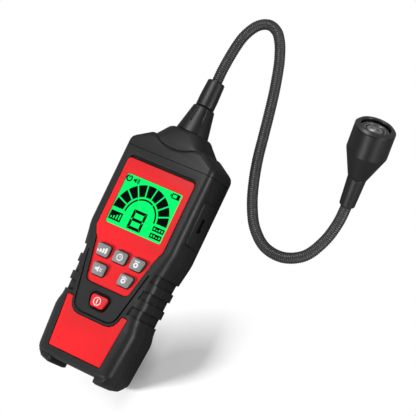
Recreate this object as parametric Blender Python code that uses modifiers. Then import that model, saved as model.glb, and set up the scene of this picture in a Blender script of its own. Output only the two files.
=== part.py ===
"""Refrigerant leak detector: a waisted casing with a display and keys, and a sensor head on a gooseneck.

The detector lies on its back. X runs across it, Y along it towards the gooseneck, and Z out of its display.
The origin is on the casing's flat back, midway across it, 84 mm above its foot. Sizes are in metres,
through MM.
"""

import math

import bmesh
import bpy
from mathutils import Matrix, Vector

MM = 0.001

# Casing
CASING_THICKNESS = 33.0 * MM
CASING_WALL = 2.4 * MM
CASING_EDGE = 6.5 * MM
CASING_SIDE_EDGE = 4.5 * MM
CAVITY_EDGE = 4.0 * MM
FRONT_LEAN = 4.6 * MM
UPPER_HALF_WIDTH = 36.0 * MM
WAIST_TOP_HALF_WIDTH = 33.0 * MM
WAIST_HALF_WIDTH = 31.9 * MM
HEEL_HALF_WIDTH = 33.9 * MM
FOOT_HALF_WIDTH = 31.2 * MM
SHOULDER_Y = 74.2 * MM
SHOULDER_RADIUS = 6.0 * MM
CREST_Y = 82.2 * MM
CREST_HALF_WIDTH = 22.0 * MM
UPPER_END_Y = 9.5 * MM
WAIST_TOP_Y = -8.0 * MM
WAIST_Y = -41.0 * MM
HEEL_Y = -49.0 * MM
WAIST_RADIUS = 22.0 * MM
HEEL_RADIUS = 10.0 * MM
FOOT_RADIUS = 6.0 * MM
FOOT_Y = -84.0 * MM
SEAM_Y = 67.9 * MM
PARTING_Z = 18.3 * MM
GAP = 0.3 * MM
COVER_Z = 28.8 * MM

# Corner bumpers
BUMPER_PROUD = 0.6 * MM
BUMPER_WIDTH = 14.2 * MM
BUMPER_OUTER_X = FOOT_HALF_WIDTH + BUMPER_PROUD
BUMPER_INNER_X = BUMPER_OUTER_X - BUMPER_WIDTH
BUMPER_CORNER = 10.0 * MM
BUMPER_DROP = 3.9 * MM
BUMPER_LENGTH = 15.0 * MM
BUMPER_MARGIN = 2.6 * MM
BUMPER_ROUNDING = 6.0 * MM

# Hump that carries the gooseneck
HUMP_INSET = 0.7 * MM
HUMP_HALF_WIDTH = CREST_HALF_WIDTH - HUMP_INSET
HUMP_SEAM_MARGIN = 4.4 * MM
HUMP_ROOT_Y = SEAM_Y + HUMP_SEAM_MARGIN
HUMP_TIP_Y = 91.0 * MM
HUMP_TIP_HALF_WIDTH = 15.0 * MM
HUMP_TIP_HALF_HEIGHT = 13.2 * MM
CRESCENT_RADIUS = 28.0 * MM
CRESCENT_DROP = 7.9 * MM
CRESCENT_LOW_Y = CREST_Y - CRESCENT_DROP
CRESCENT_WIDTH = 1.6 * MM
CRESCENT_DEPTH = 1.0 * MM
CRESCENT_HALF_SPAN = 18.0 * MM

# Grip bands
GRIP_COUNT = 3
GRIP_TOP_Y = -5.6 * MM
GRIP_PITCH = 12.7 * MM
GRIP_WIDTH = 6.8 * MM
GRIP_DEPTH = 1.4 * MM
GRIP_INNER_X = 29.2 * MM
GRIP_SLOPE = 0.205

# Raised pad and slot of the charging port
PAD_LOW_Y = 20.4 * MM
PAD_HIGH_Y = 52.3 * MM
PAD_LOW_Z = 8.0 * MM
PAD_HIGH_Z = 25.9 * MM
PAD_RISE = 1.0 * MM
PAD_RADIUS = 3.0 * MM
PORT_Y = 36.1 * MM
PORT_LENGTH = 10.4 * MM
PORT_HEIGHT = 4.6 * MM
SOCKET_DEPTH = 8.0 * MM
SOCKET_MOUTH_LENGTH = 8.4 * MM
SOCKET_MOUTH_HEIGHT = 2.8 * MM

# Display fascia
FASCIA_TOP_Y = 59.7 * MM
FASCIA_HALF_WIDTH = 28.0 * MM
FASCIA_SHOULDER_Y = 9.0 * MM
FASCIA_NECK_Y = 1.0 * MM
FASCIA_NECK_HALF_WIDTH = 24.0 * MM
FASCIA_LOW_Y = -27.5 * MM
FASCIA_LOW_HALF_WIDTH = 17.1 * MM
FASCIA_FLOOR_Z = 30.6 * MM
FASCIA_TOP_Z = 33.5 * MM
KEYPAD_TOP_Z = 32.3 * MM
STEP_HIGH_Y = 6.6 * MM
STEP_LOW_Y = 0.9 * MM
FASCIA_MARGIN = 0.4 * MM
TOP_RELIEF = 1.8 * MM
TOP_RELIEF_DEPTH = 1.2 * MM

# Display window and liquid crystal panel
WINDOW_HALF_WIDTH = 23.15 * MM
WINDOW_LOW_Y = 13.3 * MM
WINDOW_HIGH_Y = 49.4 * MM
WINDOW_RADIUS = 1.2 * MM
WINDOW_THICKNESS = 0.8 * MM
WINDOW_RECESS = 0.3 * MM
PANEL_OVERLAP = 1.6 * MM
PANEL_THICKNESS = 1.6 * MM
HOLDER_WALL = 1.6 * MM

# Lower panel and the tongue between the two fascias
PANEL_EAR_Y = -40.6 * MM
PANEL_EAR_HALF_WIDTH = 25.3 * MM
PANEL_FOOT_Y = -77.0 * MM
PANEL_FOOT_HALF_WIDTH = 21.9 * MM
PANEL_BAY_Y = -50.6 * MM
PANEL_BAY_HALF_WIDTH = 17.9 * MM
PANEL_BAY_EAR_HALF_WIDTH = 20.6 * MM
PANEL_BAY_RADIUS = 8.5 * MM
TONGUE_TOP_Y = -8.0 * MM
TONGUE_TOP_HALF_WIDTH = 25.6 * MM
TONGUE_LOW_Y = -48.3 * MM
TONGUE_LOW_HALF_WIDTH = 16.6 * MM
TONGUE_RADIUS = 7.5 * MM
TONGUE_GROOVE = 1.2 * MM
TONGUE_GROOVE_DEPTH = 1.1 * MM

# Keys
KEY_RISE = 1.5 * MM
POWER_RISE = 1.4 * MM
KEY_CLEARANCE = 0.35 * MM
KEY_FLANGE = 1.1 * MM
KEY_FLANGE_THICKNESS = 1.2 * MM
KEY_TRAVEL = 0.8 * MM
KEY_HEIGHT = 8.5 * MM
KEY_RADIUS = 1.7 * MM
KEY_EDGE = 0.5 * MM
KEY_STEM_RADIUS = 1.7 * MM
UPPER_ROW_Y = -5.0 * MM
LOWER_ROW_Y = -18.0 * MM
CENTRE_KEY_HALF_WIDTH = 5.4 * MM
SIDE_KEY_WIDTH = 11.6 * MM
KEY_SIDE_MARGIN = 3.1 * MM
POWER_TOP_Y = -33.4 * MM
POWER_TOP_HALF_WIDTH = 7.3 * MM
POWER_LOW_Y = -42.1 * MM
POWER_LOW_HALF_WIDTH = 5.2 * MM
POWER_RADIUS = 2.2 * MM
POWER_WELL_MARGIN = 1.9 * MM
POWER_WELL_DEPTH = 1.3 * MM

# Circuit board and what it carries
BOARD_THICKNESS = 1.6 * MM
BOARD_LOW_Z = 20.4 * MM
BOARD_MARGIN = 5.0 * MM
BOARD_WAIST_MARGIN = 5.9 * MM
BOARD_HALF_WIDTH = UPPER_HALF_WIDTH - BOARD_MARGIN
BOARD_WAIST_HALF_WIDTH = WAIST_HALF_WIDTH - BOARD_WAIST_MARGIN
BOARD_RADIUS = 2.0 * MM
BOARD_TOP_Y = 62.0 * MM
BOARD_STEP_Y = 10.0 * MM
BOARD_STEP_LENGTH = 6.0 * MM
BOARD_FOOT_Y = -58.0 * MM
SWITCH_SIZE = 6.2 * MM
SWITCH_HEIGHT = 3.6 * MM
SWITCH_WELL_RADIUS = 2.1 * MM
SWITCH_WELL_DEPTH = 2.6 * MM
BUZZER_RADIUS = 7.0 * MM
BUZZER_HEIGHT = 6.5 * MM
BUZZER_X = -14.0 * MM
BUZZER_Y = 30.0 * MM
CHIP_SIZE = 12.0 * MM
CHIP_HEIGHT = 1.2 * MM
CHIP_Y = 22.0 * MM
CHIP_X = 8.0 * MM

# Casing screws
SCREW_INSET = 6.8 * MM
SCREW_X = UPPER_HALF_WIDTH - SCREW_INSET
SCREW_Y = 56.0 * MM
LOW_SCREW_INSET = 6.6 * MM
LOW_SCREW_X = FOOT_HALF_WIDTH - LOW_SCREW_INSET
LOW_SCREW_Y = -66.0 * MM
SCREW_SHANK_RADIUS = 1.2 * MM
SCREW_HEAD_RADIUS = 2.5 * MM
SCREW_HEAD_HEIGHT = 1.8 * MM
SCREW_TIP_Z = 27.0 * MM
POST_RADIUS = 4.1 * MM
BOSS_RADIUS = 3.2 * MM
COUNTERBORE_DEPTH = 3.0 * MM
SCREW_CLEARANCE = 0.4 * MM

# Battery bay
BAY_HALF_WIDTH = 19.0 * MM
BAY_LOW_Y = -72.0 * MM
BAY_HIGH_Y = -14.0 * MM
BAY_CEILING_Z = 14.2 * MM
BAY_WALL = 1.6 * MM
BAY_LEDGE = 1.0 * MM
COVER_THICKNESS = 1.8 * MM
COVER_RECESS = 0.4 * MM
COVER_RIDGES = 4
COVER_RIDGE_PITCH = 3.0 * MM
COVER_RIDGE_MARGIN = 6.0 * MM
COVER_RIDGE_WIDTH = 1.2 * MM
COVER_RIDGE_DEPTH = 0.6 * MM
COVER_RIDGE_HALF_LENGTH = 9.0 * MM
COVER_SCREW_Y = -19.3 * MM
COVER_COUNTERBORE = 2.4 * MM
PACK_HALF_WIDTH = 18.0 * MM
PACK_LENGTH = 45.0 * MM
PACK_ROUNDING = 3.0 * MM
PACK_MARGIN = 1.0 * MM
PACK_EDGE = 1.0 * MM
CONTACT_X = 8.0 * MM
CONTACT_Y = -34.0 * MM
CONTACT_RADIUS = 1.2 * MM
STANDOFF_X = 14.0 * MM
STANDOFF_Y = -52.0 * MM
STANDOFF_RADIUS = 2.5 * MM

# Gooseneck and its two lower fittings
NECK_RADIUS = 3.85 * MM
NECK_ROOT_SHARE = 0.88
NECK_RIB_PITCH = 2.8 * MM
NECK_CLEARANCE = 0.3 * MM
NECK_START_Y = 70.0 * MM
NUT_RADIUS = 7.2 * MM
NUT_HEIGHT = 5.0 * MM
BOOT_LENGTH = 19.5 * MM
BOOT_BASE_RADIUS = 11.7 * MM
BOOT_TIP_RADIUS = 7.7 * MM
BOOT_SLOTS = 8
BOOT_SLOT_WIDTH = 1.3 * MM
BOOT_SLOT_DEPTH = 1.0 * MM
BOOT_SLOT_LENGTH = 10.0 * MM
BOOT_SLOT_MARGIN = 1.4 * MM
SLEEVE_LENGTH = 19.3 * MM
SLEEVE_BASE_RADIUS = 6.6 * MM
SLEEVE_TIP_RADIUS = 6.1 * MM
EDGE_SOFTENING = 0.6 * MM

# Route of the gooseneck's middle after its lower sleeve, chosen by hand, in millimetres
NECK_ROUTE = (
    (0.0, 141.0, 18.3),
    (1.4, 156.7, 18.2),
    (3.9, 167.4, 18.0),
    (9.4, 176.2, 17.8),
    (17.0, 179.8, 17.5),
    (24.6, 177.4, 17.2),
    (30.2, 170.9, 16.9),
    (34.3, 162.7, 16.6),
    (37.3, 154.6, 16.2),
    (41.6, 139.3, 15.5),
    (45.1, 123.7, 14.9),
    (48.3, 108.1, 14.4),
    (51.7, 92.5, 14.2),
    (56.5, 77.3, 14.2),
    (62.9, 62.7, 14.2),
    (72.0, 49.6, 14.4),
    (85.0, 40.6, 14.8),
    (100.7, 39.1, 15.8),
    (115.1, 45.4, 17.4),
    (124.4, 57.8, 20.3),
    (129.9, 71.2, 24.3),
)

# Sensor head
HEAD_START = (133.3 * MM, 84.6 * MM, 30.7 * MM)
HEAD_AIM = (0.174, 0.835, 0.523)
HEAD_SLEEVE_LENGTH = 21.4 * MM
HEAD_SLEEVE_RADIUS = 6.2 * MM
HEAD_SLEEVE_LOW_RADIUS = 5.2 * MM
HEAD_CONE_LENGTH = 18.0 * MM
HEAD_CONE_RADIUS = 6.6 * MM
HEAD_RADIUS = 13.6 * MM
HEAD_LENGTH = 19.6 * MM
HEAD_WALL = 1.8 * MM
HEAD_RIM_HEIGHT = 1.8 * MM
HEAD_RIM_CHAMFER = 1.2 * MM
HEAD_MOUTH_RADIUS = 10.0 * MM
HEAD_FLOOR = 12.0 * MM
CAN_RECESS = 2.6 * MM
CAN_RING_RADIUS = 6.2 * MM
CAN_RING_WIDTH = 0.7 * MM
CAN_RING_DEPTH = 0.6 * MM
CAN_HOLES = 3
CAN_HOLE_RADIUS = 0.8 * MM
CAN_HOLE_CIRCLE = 1.9 * MM
CAN_HEIGHT = 5.0 * MM
SENSOR_BASE_HEIGHT = 2.0 * MM

# Leads inside the casing
LEAD_RADIUS = 1.2 * MM
LEAD_RUN = 5.0 * MM
LEAD_STEP = 1.5 * MM
PLUG_SIZE = (8.0 * MM, 5.0 * MM, 4.5 * MM)
PLUG_X = 12.0 * MM
PLUG_Y = 52.0 * MM

ARC_STEP = math.radians(30)
ROUND_SIDES = 24
SMALL_SIDES = 12
CRESCENT_SIDES = 48
FAR = 300 * MM

NECK_BORE = NECK_RADIUS + NECK_CLEARANCE
BOARD_TOP_Z = BOARD_LOW_Z + BOARD_THICKNESS
BUMPER_LOW_Y = FOOT_Y - BUMPER_DROP


# Scene, materials and objects
def clear_scene():
    """Removes every object, and gives the two collections of the model."""
    for thing in list(bpy.data.objects):
        bpy.data.objects.remove(thing)
    parts = bpy.data.collections.new("refrigerant_leak_detector")
    cutters = bpy.data.collections.new("cutters")
    bpy.context.scene.collection.children.link(parts)
    bpy.context.scene.collection.children.link(cutters)
    return parts, cutters


def finish(name, colour, roughness, metallic=0.0):
    """A plain material of one colour."""
    material = bpy.data.materials.new(name)
    material.use_nodes = True
    shader = material.node_tree.nodes["Principled BSDF"]
    shader.inputs["Base Color"].default_value = (*colour, 1.0)
    shader.inputs["Roughness"].default_value = roughness
    shader.inputs["Metallic"].default_value = metallic
    return material


PARTS, CUTTERS = clear_scene()
FRAME_PLASTIC = finish("frame_plastic", (0.062, 0.065, 0.066), 0.5)
REAR_PLASTIC = finish("rear_plastic", (0.030, 0.031, 0.031), 0.55)
RED_PLASTIC = finish("red_plastic", (0.86, 0.035, 0.040), 0.35)
KEY_RUBBER = finish("key_rubber", (0.235, 0.245, 0.245), 0.6)
BLACK_RUBBER = finish("black_rubber", (0.028, 0.028, 0.029), 0.6)
GOOSENECK_COAT = finish("gooseneck_coat", (0.020, 0.020, 0.021), 0.4)
WINDOW_CLEAR = finish("window_clear", (0.80, 0.95, 0.85), 0.05)
DISPLAY_GREEN = finish("display_green", (0.010, 0.86, 0.18), 0.3)
BOARD_GREEN = finish("board_green", (0.02, 0.16, 0.06), 0.45)
COMPONENT_BLACK = finish("component_black", (0.02, 0.02, 0.02), 0.4)
WHITE_PLASTIC = finish("white_plastic", (0.75, 0.74, 0.70), 0.45)
STEEL = finish("steel", (0.55, 0.55, 0.56), 0.3, 1.0)
BRASS = finish("brass", (0.72, 0.54, 0.24), 0.3, 1.0)
PACK_WRAP = finish("pack_wrap", (0.05, 0.14, 0.40), 0.4)


def put(name, mesh, material=None):
    """An object for a mesh: a part when it has a material, and else a cutter."""
    thing = bpy.data.objects.new(name, mesh)
    if material:
        mesh.materials.clear()
        mesh.materials.append(material)
        PARTS.objects.link(thing)
    else:
        CUTTERS.objects.link(thing)
        thing.hide_render = True
        thing.display_type = "WIRE"
    return thing


def boolean(thing, tool, operation="DIFFERENCE"):
    """Cuts, joins or intersects a solid with another."""
    modifier = thing.modifiers.new(operation.lower(), "BOOLEAN")
    modifier.object = tool
    modifier.operation = operation
    modifier.solver = "EXACT"
    return thing


def settled(thing, name):
    """A mesh of an object with its modifiers applied, in world space."""
    bpy.context.view_layer.update()
    graph = bpy.context.evaluated_depsgraph_get()
    mesh = bpy.data.meshes.new_from_object(thing.evaluated_get(graph))
    mesh.transform(thing.matrix_world)
    mesh.name = name
    return mesh


# Outlines
def mirrored(half):
    """A closed outline, anticlockwise, from the corners of its right half, top to bottom."""
    right = list(reversed(half))
    return right + [(-x, y, radius) for x, y, radius in half]


def outline(corners, inset=0.0):
    """Points of a closed outline with rounded corners, moved inward; a corner is (x, y, radius)."""
    points = []
    spots = [Vector(corner[:2]) for corner in corners]
    for index, (_, _, radius) in enumerate(corners):
        here = spots[index]
        along = (here - spots[index - 1]).normalized()
        onward = (spots[(index + 1) % len(spots)] - here).normalized()
        inward = Vector((-along.y, along.x))
        turn = math.atan2(along.cross(onward), along.dot(onward))
        corner = here + (onward - along) * inset / along.cross(onward)
        if radius == 0:
            points.append(corner)
            continue
        bend = math.copysign(1.0, turn)
        rounded = max(radius - bend * inset, 0.2 * MM)
        reach = rounded * math.tan(abs(turn) / 2)
        centre = corner - along * reach + inward * bend * rounded
        steps = max(1, math.ceil(abs(turn) / ARC_STEP))
        arm = corner - along * reach - centre
        for step in range(steps + 1):
            swing = Matrix.Rotation(turn * step / steps, 2)
            points.append(centre + swing @ arm)
    return points


def loft(name, rings, material=None, turn=None):
    """A solid through rings with the same count of points, closed with a face at each end."""
    shape = bmesh.new()
    rows = [[shape.verts.new(point) for point in ring] for ring in rings]
    for low, high in zip(rows, rows[1:]):
        for index in range(len(low)):
            nxt = (index + 1) % len(low)
            shape.faces.new((low[index], low[nxt], high[nxt], high[index]))
    shape.faces.new(rows[0])
    shape.faces.new(rows[-1])
    bmesh.ops.recalc_face_normals(shape, faces=shape.faces)
    mesh = bpy.data.meshes.new(name)
    if turn:
        bmesh.ops.transform(shape, matrix=turn, verts=shape.verts)
    shape.to_mesh(mesh)
    shape.free()
    return put(name, mesh, material)


def slab(name, corners, low, high, material=None, grow=0.0, top_edge=0.0, low_edge=0.0, turn=None):
    """A flat piece of one outline between two heights, with its top or lower edge rounded off."""
    levels = []
    if low_edge:
        levels += [(low_edge, low), (0.3 * low_edge, low + 0.3 * low_edge)]
    levels.append((0.0, low + low_edge))
    levels.append((0.0, high - top_edge))
    if top_edge:
        levels += [(0.3 * top_edge, high - 0.3 * top_edge), (top_edge, high)]
    rings = []
    for inset, height in levels:
        points = outline(corners, inset - grow)
        rings.append([(point.x, point.y, height) for point in points])
    return loft(name, rings, material, turn)


def block(name, low, high, material=None):
    """A box between two corners."""
    shape = bmesh.new()
    bmesh.ops.create_cube(shape, size=1.0)
    size = [b - a for a, b in zip(low, high)]
    middle = [(a + b) / 2 for a, b in zip(low, high)]
    bmesh.ops.scale(shape, vec=size, verts=shape.verts)
    bmesh.ops.translate(shape, vec=middle, verts=shape.verts)
    mesh = bpy.data.meshes.new(name)
    shape.to_mesh(mesh)
    shape.free()
    return put(name, mesh, material)


def rod(name, x, y, low, high, radius, material=None, sides=SMALL_SIDES):
    """An upright cylinder between two heights."""
    shape = bmesh.new()
    spot = Matrix.Translation((x, y, (low + high) / 2))
    bmesh.ops.create_cone(
        shape, cap_ends=True, segments=sides, radius1=radius, radius2=radius, depth=high - low, matrix=spot
    )
    mesh = bpy.data.meshes.new(name)
    shape.to_mesh(mesh)
    shape.free()
    return put(name, mesh, material)


def turned(name, profile, material=None, sides=ROUND_SIDES, closed=False):
    """A turned solid about Z. The profile, (radius, height), runs down its outer side, top to bottom."""
    shape = bmesh.new()
    row = [shape.verts.new((radius, 0.0, height)) for radius, height in profile]
    for first, second in zip(row, row[1:]):
        shape.edges.new((first, second))
    if closed:
        shape.edges.new((row[-1], row[0]))
    mesh = bpy.data.meshes.new(name)
    shape.to_mesh(mesh)
    shape.free()
    thing = put(name, mesh, material)
    screw = thing.modifiers.new("turn", "SCREW")
    screw.steps = sides
    screw.render_steps = sides
    screw.use_merge_vertices = True
    screw.merge_threshold = 0.00001
    return thing


def tube(name, points, radius, material, radii=None, resolution=2):
    """A round tube along points, with closed ends."""
    curve = bpy.data.curves.new(name, "CURVE")
    curve.dimensions = "3D"
    curve.bevel_depth = radius
    curve.bevel_resolution = resolution
    curve.use_fill_caps = True
    spline = curve.splines.new("POLY")
    spline.points.add(len(points) - 1)
    for index, point in enumerate(points):
        spline.points[index].co = (*point, 1.0)
        spline.points[index].radius = radii[index] if radii else 1.0
    thing = bpy.data.objects.new(name, curve)
    PARTS.objects.link(thing)
    curve.materials.append(material)
    return thing


# Smooth route through chosen points
def smooth_route(knots, step):
    """Points a step apart along the smooth curve through the knots."""
    ends = [2 * knots[0] - knots[1]] + list(knots) + [2 * knots[-1] - knots[-2]]
    fine = []
    for before, start, end, after in zip(ends, ends[1:], ends[2:], ends[3:]):
        for part in range(24):
            t = part / 24
            bend = 2 * start + (end - before) * t
            bend += (2 * before - 5 * start + 4 * end - after) * t * t
            bend += (3 * start - before - 3 * end + after) * t * t * t
            fine.append(bend / 2)
    fine.append(knots[-1])
    reach = [0.0]
    for first, second in zip(fine, fine[1:]):
        reach.append(reach[-1] + (second - first).length)
    count = round(reach[-1] / step)
    route = []
    index = 0
    for number in range(count + 1):
        goal = reach[-1] * number / count
        while index < len(fine) - 2 and reach[index + 1] < goal:
            index += 1
        share = (goal - reach[index]) / (reach[index + 1] - reach[index])
        route.append(fine[index].lerp(fine[index + 1], min(share, 1.0)))
    return route


# Casing
CASING_CORNERS = mirrored([
    (CREST_HALF_WIDTH, CREST_Y, 1.5 * MM),
    (UPPER_HALF_WIDTH, SHOULDER_Y, SHOULDER_RADIUS),
    (UPPER_HALF_WIDTH, UPPER_END_Y, WAIST_RADIUS),
    (WAIST_TOP_HALF_WIDTH, WAIST_TOP_Y, WAIST_RADIUS),
    (WAIST_HALF_WIDTH, WAIST_Y, HEEL_RADIUS),
    (HEEL_HALF_WIDTH, HEEL_Y, HEEL_RADIUS),
    (FOOT_HALF_WIDTH, FOOT_Y, FOOT_RADIUS),
])


def front_lean(y):
    """How far the front face's long edges stand inside the flanks' own rounding."""
    share = (UPPER_END_Y - y) / (UPPER_END_Y - WAIST_TOP_Y)
    return FRONT_LEAN * min(1.0, max(0.0, share))


def casing_solid(name, shrink, low, high, edge, side_edge, steps=4):
    """The casing's waisted body, drawn in by shrink, with long edges rounded edge high and side_edge wide."""
    levels = []
    for step in range(steps + 1):
        angle = math.pi / 2 * step / steps
        levels.append((1 - math.sin(angle), low + edge * (1 - math.cos(angle)), 0.0))
    for share, height, _ in reversed(list(levels)):
        levels.append((share, low + high - height, share))
    rings = []
    for share, height, lean in levels:
        points = outline(CASING_CORNERS, shrink + side_edge * share)
        ring = []
        for point in points:
            inward = lean * front_lean(point.y)
            ring.append((point.x - math.copysign(inward, point.x), point.y, height))
        rings.append(ring)
    return loft(name, rings)


def bumper(side):
    """A corner bumper at the foot, on the side of +1 or -1."""
    corners = [
        (BUMPER_INNER_X, BUMPER_LOW_Y, 1.5 * MM),
        (BUMPER_OUTER_X, BUMPER_LOW_Y, BUMPER_CORNER),
        (BUMPER_OUTER_X, BUMPER_LOW_Y + BUMPER_LENGTH, 3.0 * MM),
        (BUMPER_INNER_X, BUMPER_LOW_Y + BUMPER_LENGTH, 1.0 * MM),
    ]
    if side < 0:
        corners = [(-x, y, radius) for x, y, radius in reversed(corners)]
    rings = []
    steps = 3
    low = BUMPER_MARGIN
    high = CASING_THICKNESS - BUMPER_MARGIN
    levels = []
    for step in range(steps + 1):
        angle = math.pi / 2 * step / steps
        lean = BUMPER_ROUNDING * (1 - math.sin(angle))
        levels.append((lean, low + BUMPER_ROUNDING * (1 - math.cos(angle))))
    for lean, height in reversed(list(levels)):
        levels.append((lean, low + high - height))
    for lean, height in levels:
        points = outline(corners, 0.62 * lean)
        rings.append([(point.x, point.y, height) for point in points])
    return loft(f"bumper_{'right' if side > 0 else 'left'}", rings)


def rounded_section(half_width, half_height, power, y, middle_z, count=32):
    """A ring across Y between a circle, power 2, and a rounded box, at larger powers."""
    ring = []
    for index in range(count):
        angle = 2 * math.pi * index / count
        across = math.copysign(abs(math.cos(angle)) ** (2 / power), math.cos(angle))
        upward = math.copysign(abs(math.sin(angle)) ** (2 / power), math.sin(angle))
        ring.append((half_width * across, y, middle_z + half_height * upward))
    return ring


def hump():
    """The tapering hump at the casing's crest, from a rounded box to the seat of the gooseneck's boot."""
    middle = CASING_THICKNESS / 2
    half_height = middle - 0.1 * MM
    width = HUMP_TIP_HALF_WIDTH
    height = HUMP_TIP_HALF_HEIGHT
    return loft("hump", [
        rounded_section(HUMP_HALF_WIDTH, half_height, 5.0, HUMP_ROOT_Y, middle),
        rounded_section(HUMP_HALF_WIDTH, half_height, 4.4, CREST_Y - 1.5 * MM, middle),
        rounded_section(HUMP_HALF_WIDTH - 0.7 * MM, half_height - 0.6 * MM, 4.0, CREST_Y + 0.3 * MM, middle),
        rounded_section(width + 0.5 * MM, height + 0.5 * MM, 3.0, HUMP_TIP_Y - 2.2 * MM, PARTING_Z),
        rounded_section(width - 0.2 * MM, height - 0.2 * MM, 2.8, HUMP_TIP_Y - 1.0 * MM, PARTING_Z),
        rounded_section(width - 1.5 * MM, height - 1.5 * MM, 2.6, HUMP_TIP_Y, PARTING_Z),
    ])


def grip_tool(index):
    """A cutter that sinks one grip band into both flanks, up to a slanting inner end on the front."""
    top = GRIP_TOP_Y - index * GRIP_PITCH
    low = top - GRIP_WIDTH
    tool = block(f"grip_{index}", (-FAR, low, -FAR), (FAR, top, FAR))
    floor = CASING_THICKNESS - GRIP_DEPTH
    corners = []
    for y in (low - GRIP_WIDTH, top + GRIP_WIDTH):
        corners.append((GRIP_INNER_X + GRIP_SLOPE * (y - GRIP_TOP_Y), y, 0))
    boolean(tool, slab(f"grip_land_{index}", mirrored(corners[::-1]), -2 * FAR, 2 * FAR))
    edge = CASING_EDGE - GRIP_DEPTH
    side_edge = CASING_SIDE_EDGE - GRIP_DEPTH
    return boolean(tool, casing_solid(f"grip_core_{index}", GRIP_DEPTH, GRIP_DEPTH, floor, edge, side_edge))


def port_tool():
    """The slot of the charging port, cut through the right flank on the parting line."""
    half = PORT_LENGTH / 2
    corners = [
        (PORT_Y - half, PARTING_Z - PORT_HEIGHT / 2, 1.0 * MM),
        (PORT_Y + half, PARTING_Z - PORT_HEIGHT / 2, 1.0 * MM),
        (PORT_Y + half, PARTING_Z + PORT_HEIGHT / 2, 1.0 * MM),
        (PORT_Y - half, PARTING_Z + PORT_HEIGHT / 2, 1.0 * MM),
    ]
    return slab("port_slot", corners, UPPER_HALF_WIDTH - 2 * CASING_WALL, FAR, turn=ACROSS)


ACROSS = Matrix(((0, 0, 1, 0), (1, 0, 0, 0), (0, 1, 0, 0), (0, 0, 0, 1)))
CAVITY_TOP_Z = COVER_Z


def whole_casing():
    """The closed casing with its bumpers, hump, port pad and grip bands, hollow inside."""
    body = casing_solid("casing_body", 0.0, 0.0, CASING_THICKNESS, CASING_EDGE, CASING_SIDE_EDGE)
    for side in (1, -1):
        boolean(body, bumper(side), "UNION")
    boolean(body, hump(), "UNION")
    pad = [
        (PAD_LOW_Y, PAD_LOW_Z, PAD_RADIUS),
        (PAD_HIGH_Y, PAD_LOW_Z, PAD_RADIUS),
        (PAD_HIGH_Y, PAD_HIGH_Z, PAD_RADIUS),
        (PAD_LOW_Y, PAD_HIGH_Z, PAD_RADIUS),
    ]
    high = UPPER_HALF_WIDTH + PAD_RISE
    boolean(body, slab("port_pad", pad, high - 3 * MM, high, top_edge=PAD_RISE * 0.9, turn=ACROSS), "UNION")
    for index in range(GRIP_COUNT):
        boolean(body, grip_tool(index))
    cavity = casing_solid("cavity", CASING_WALL, CASING_WALL, CAVITY_TOP_Z, CAVITY_EDGE, CAVITY_EDGE, steps=2)
    boolean(body, cavity)
    boolean(body, port_tool())
    centre = CRESCENT_LOW_Y + CRESCENT_RADIUS
    low = CASING_THICKNESS - CRESCENT_DEPTH
    crescent = rod("crescent", 0, centre, low, 2 * CASING_THICKNESS, CRESCENT_RADIUS, sides=CRESCENT_SIDES)
    rise = CRESCENT_RADIUS - math.sqrt(CRESCENT_RADIUS ** 2 - CRESCENT_HALF_SPAN ** 2) - CRESCENT_WIDTH
    land = (CRESCENT_HALF_SPAN ** 2 + rise ** 2) / (2 * rise)
    land_y = CRESCENT_LOW_Y + CRESCENT_WIDTH + land
    inner = rod("crescent_land", 0, land_y, 0, 3 * CASING_THICKNESS, land, sides=2 * CRESCENT_SIDES)
    boolean(crescent, inner)
    boolean(body, crescent)
    bore = rod("neck_bore", 0, 0, SEAM_Y, FAR, NECK_BORE, sides=ROUND_SIDES)
    bore.matrix_world = Matrix.Translation((0, 0, PARTING_Z)) @ Matrix.Rotation(-math.pi / 2, 4, "X")
    boolean(body, bore)
    return settled(body, "casing")


# Fascia, panel and key outlines
def fascia_corners():
    """The display fascia's outline."""
    return mirrored([
        (FASCIA_HALF_WIDTH, FASCIA_TOP_Y, 2.5 * MM),
        (FASCIA_HALF_WIDTH, FASCIA_SHOULDER_Y, 3.0 * MM),
        (FASCIA_NECK_HALF_WIDTH, FASCIA_NECK_Y, 3.0 * MM),
        (FASCIA_LOW_HALF_WIDTH, FASCIA_LOW_Y, 4.0 * MM),
    ])


def fascia_half_width(y):
    """Half the fascia's width beside the keys."""
    share = (FASCIA_NECK_Y - y) / (FASCIA_NECK_Y - FASCIA_LOW_Y)
    return FASCIA_NECK_HALF_WIDTH + (FASCIA_LOW_HALF_WIDTH - FASCIA_NECK_HALF_WIDTH) * share


def window_corners():
    """The display window's outline."""
    return mirrored([
        (WINDOW_HALF_WIDTH, WINDOW_HIGH_Y, WINDOW_RADIUS),
        (WINDOW_HALF_WIDTH, WINDOW_LOW_Y, WINDOW_RADIUS),
    ])


def lower_panel_corners():
    """The lower panel's outline, with the bay that the tongue enters."""
    return mirrored([
        (PANEL_BAY_HALF_WIDTH, PANEL_BAY_Y, PANEL_BAY_RADIUS),
        (PANEL_BAY_EAR_HALF_WIDTH, PANEL_EAR_Y, 0.5 * MM),
        (PANEL_EAR_HALF_WIDTH, PANEL_EAR_Y, 1.0 * MM),
        (PANEL_FOOT_HALF_WIDTH, PANEL_FOOT_Y, 1.2 * MM),
    ])


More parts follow.
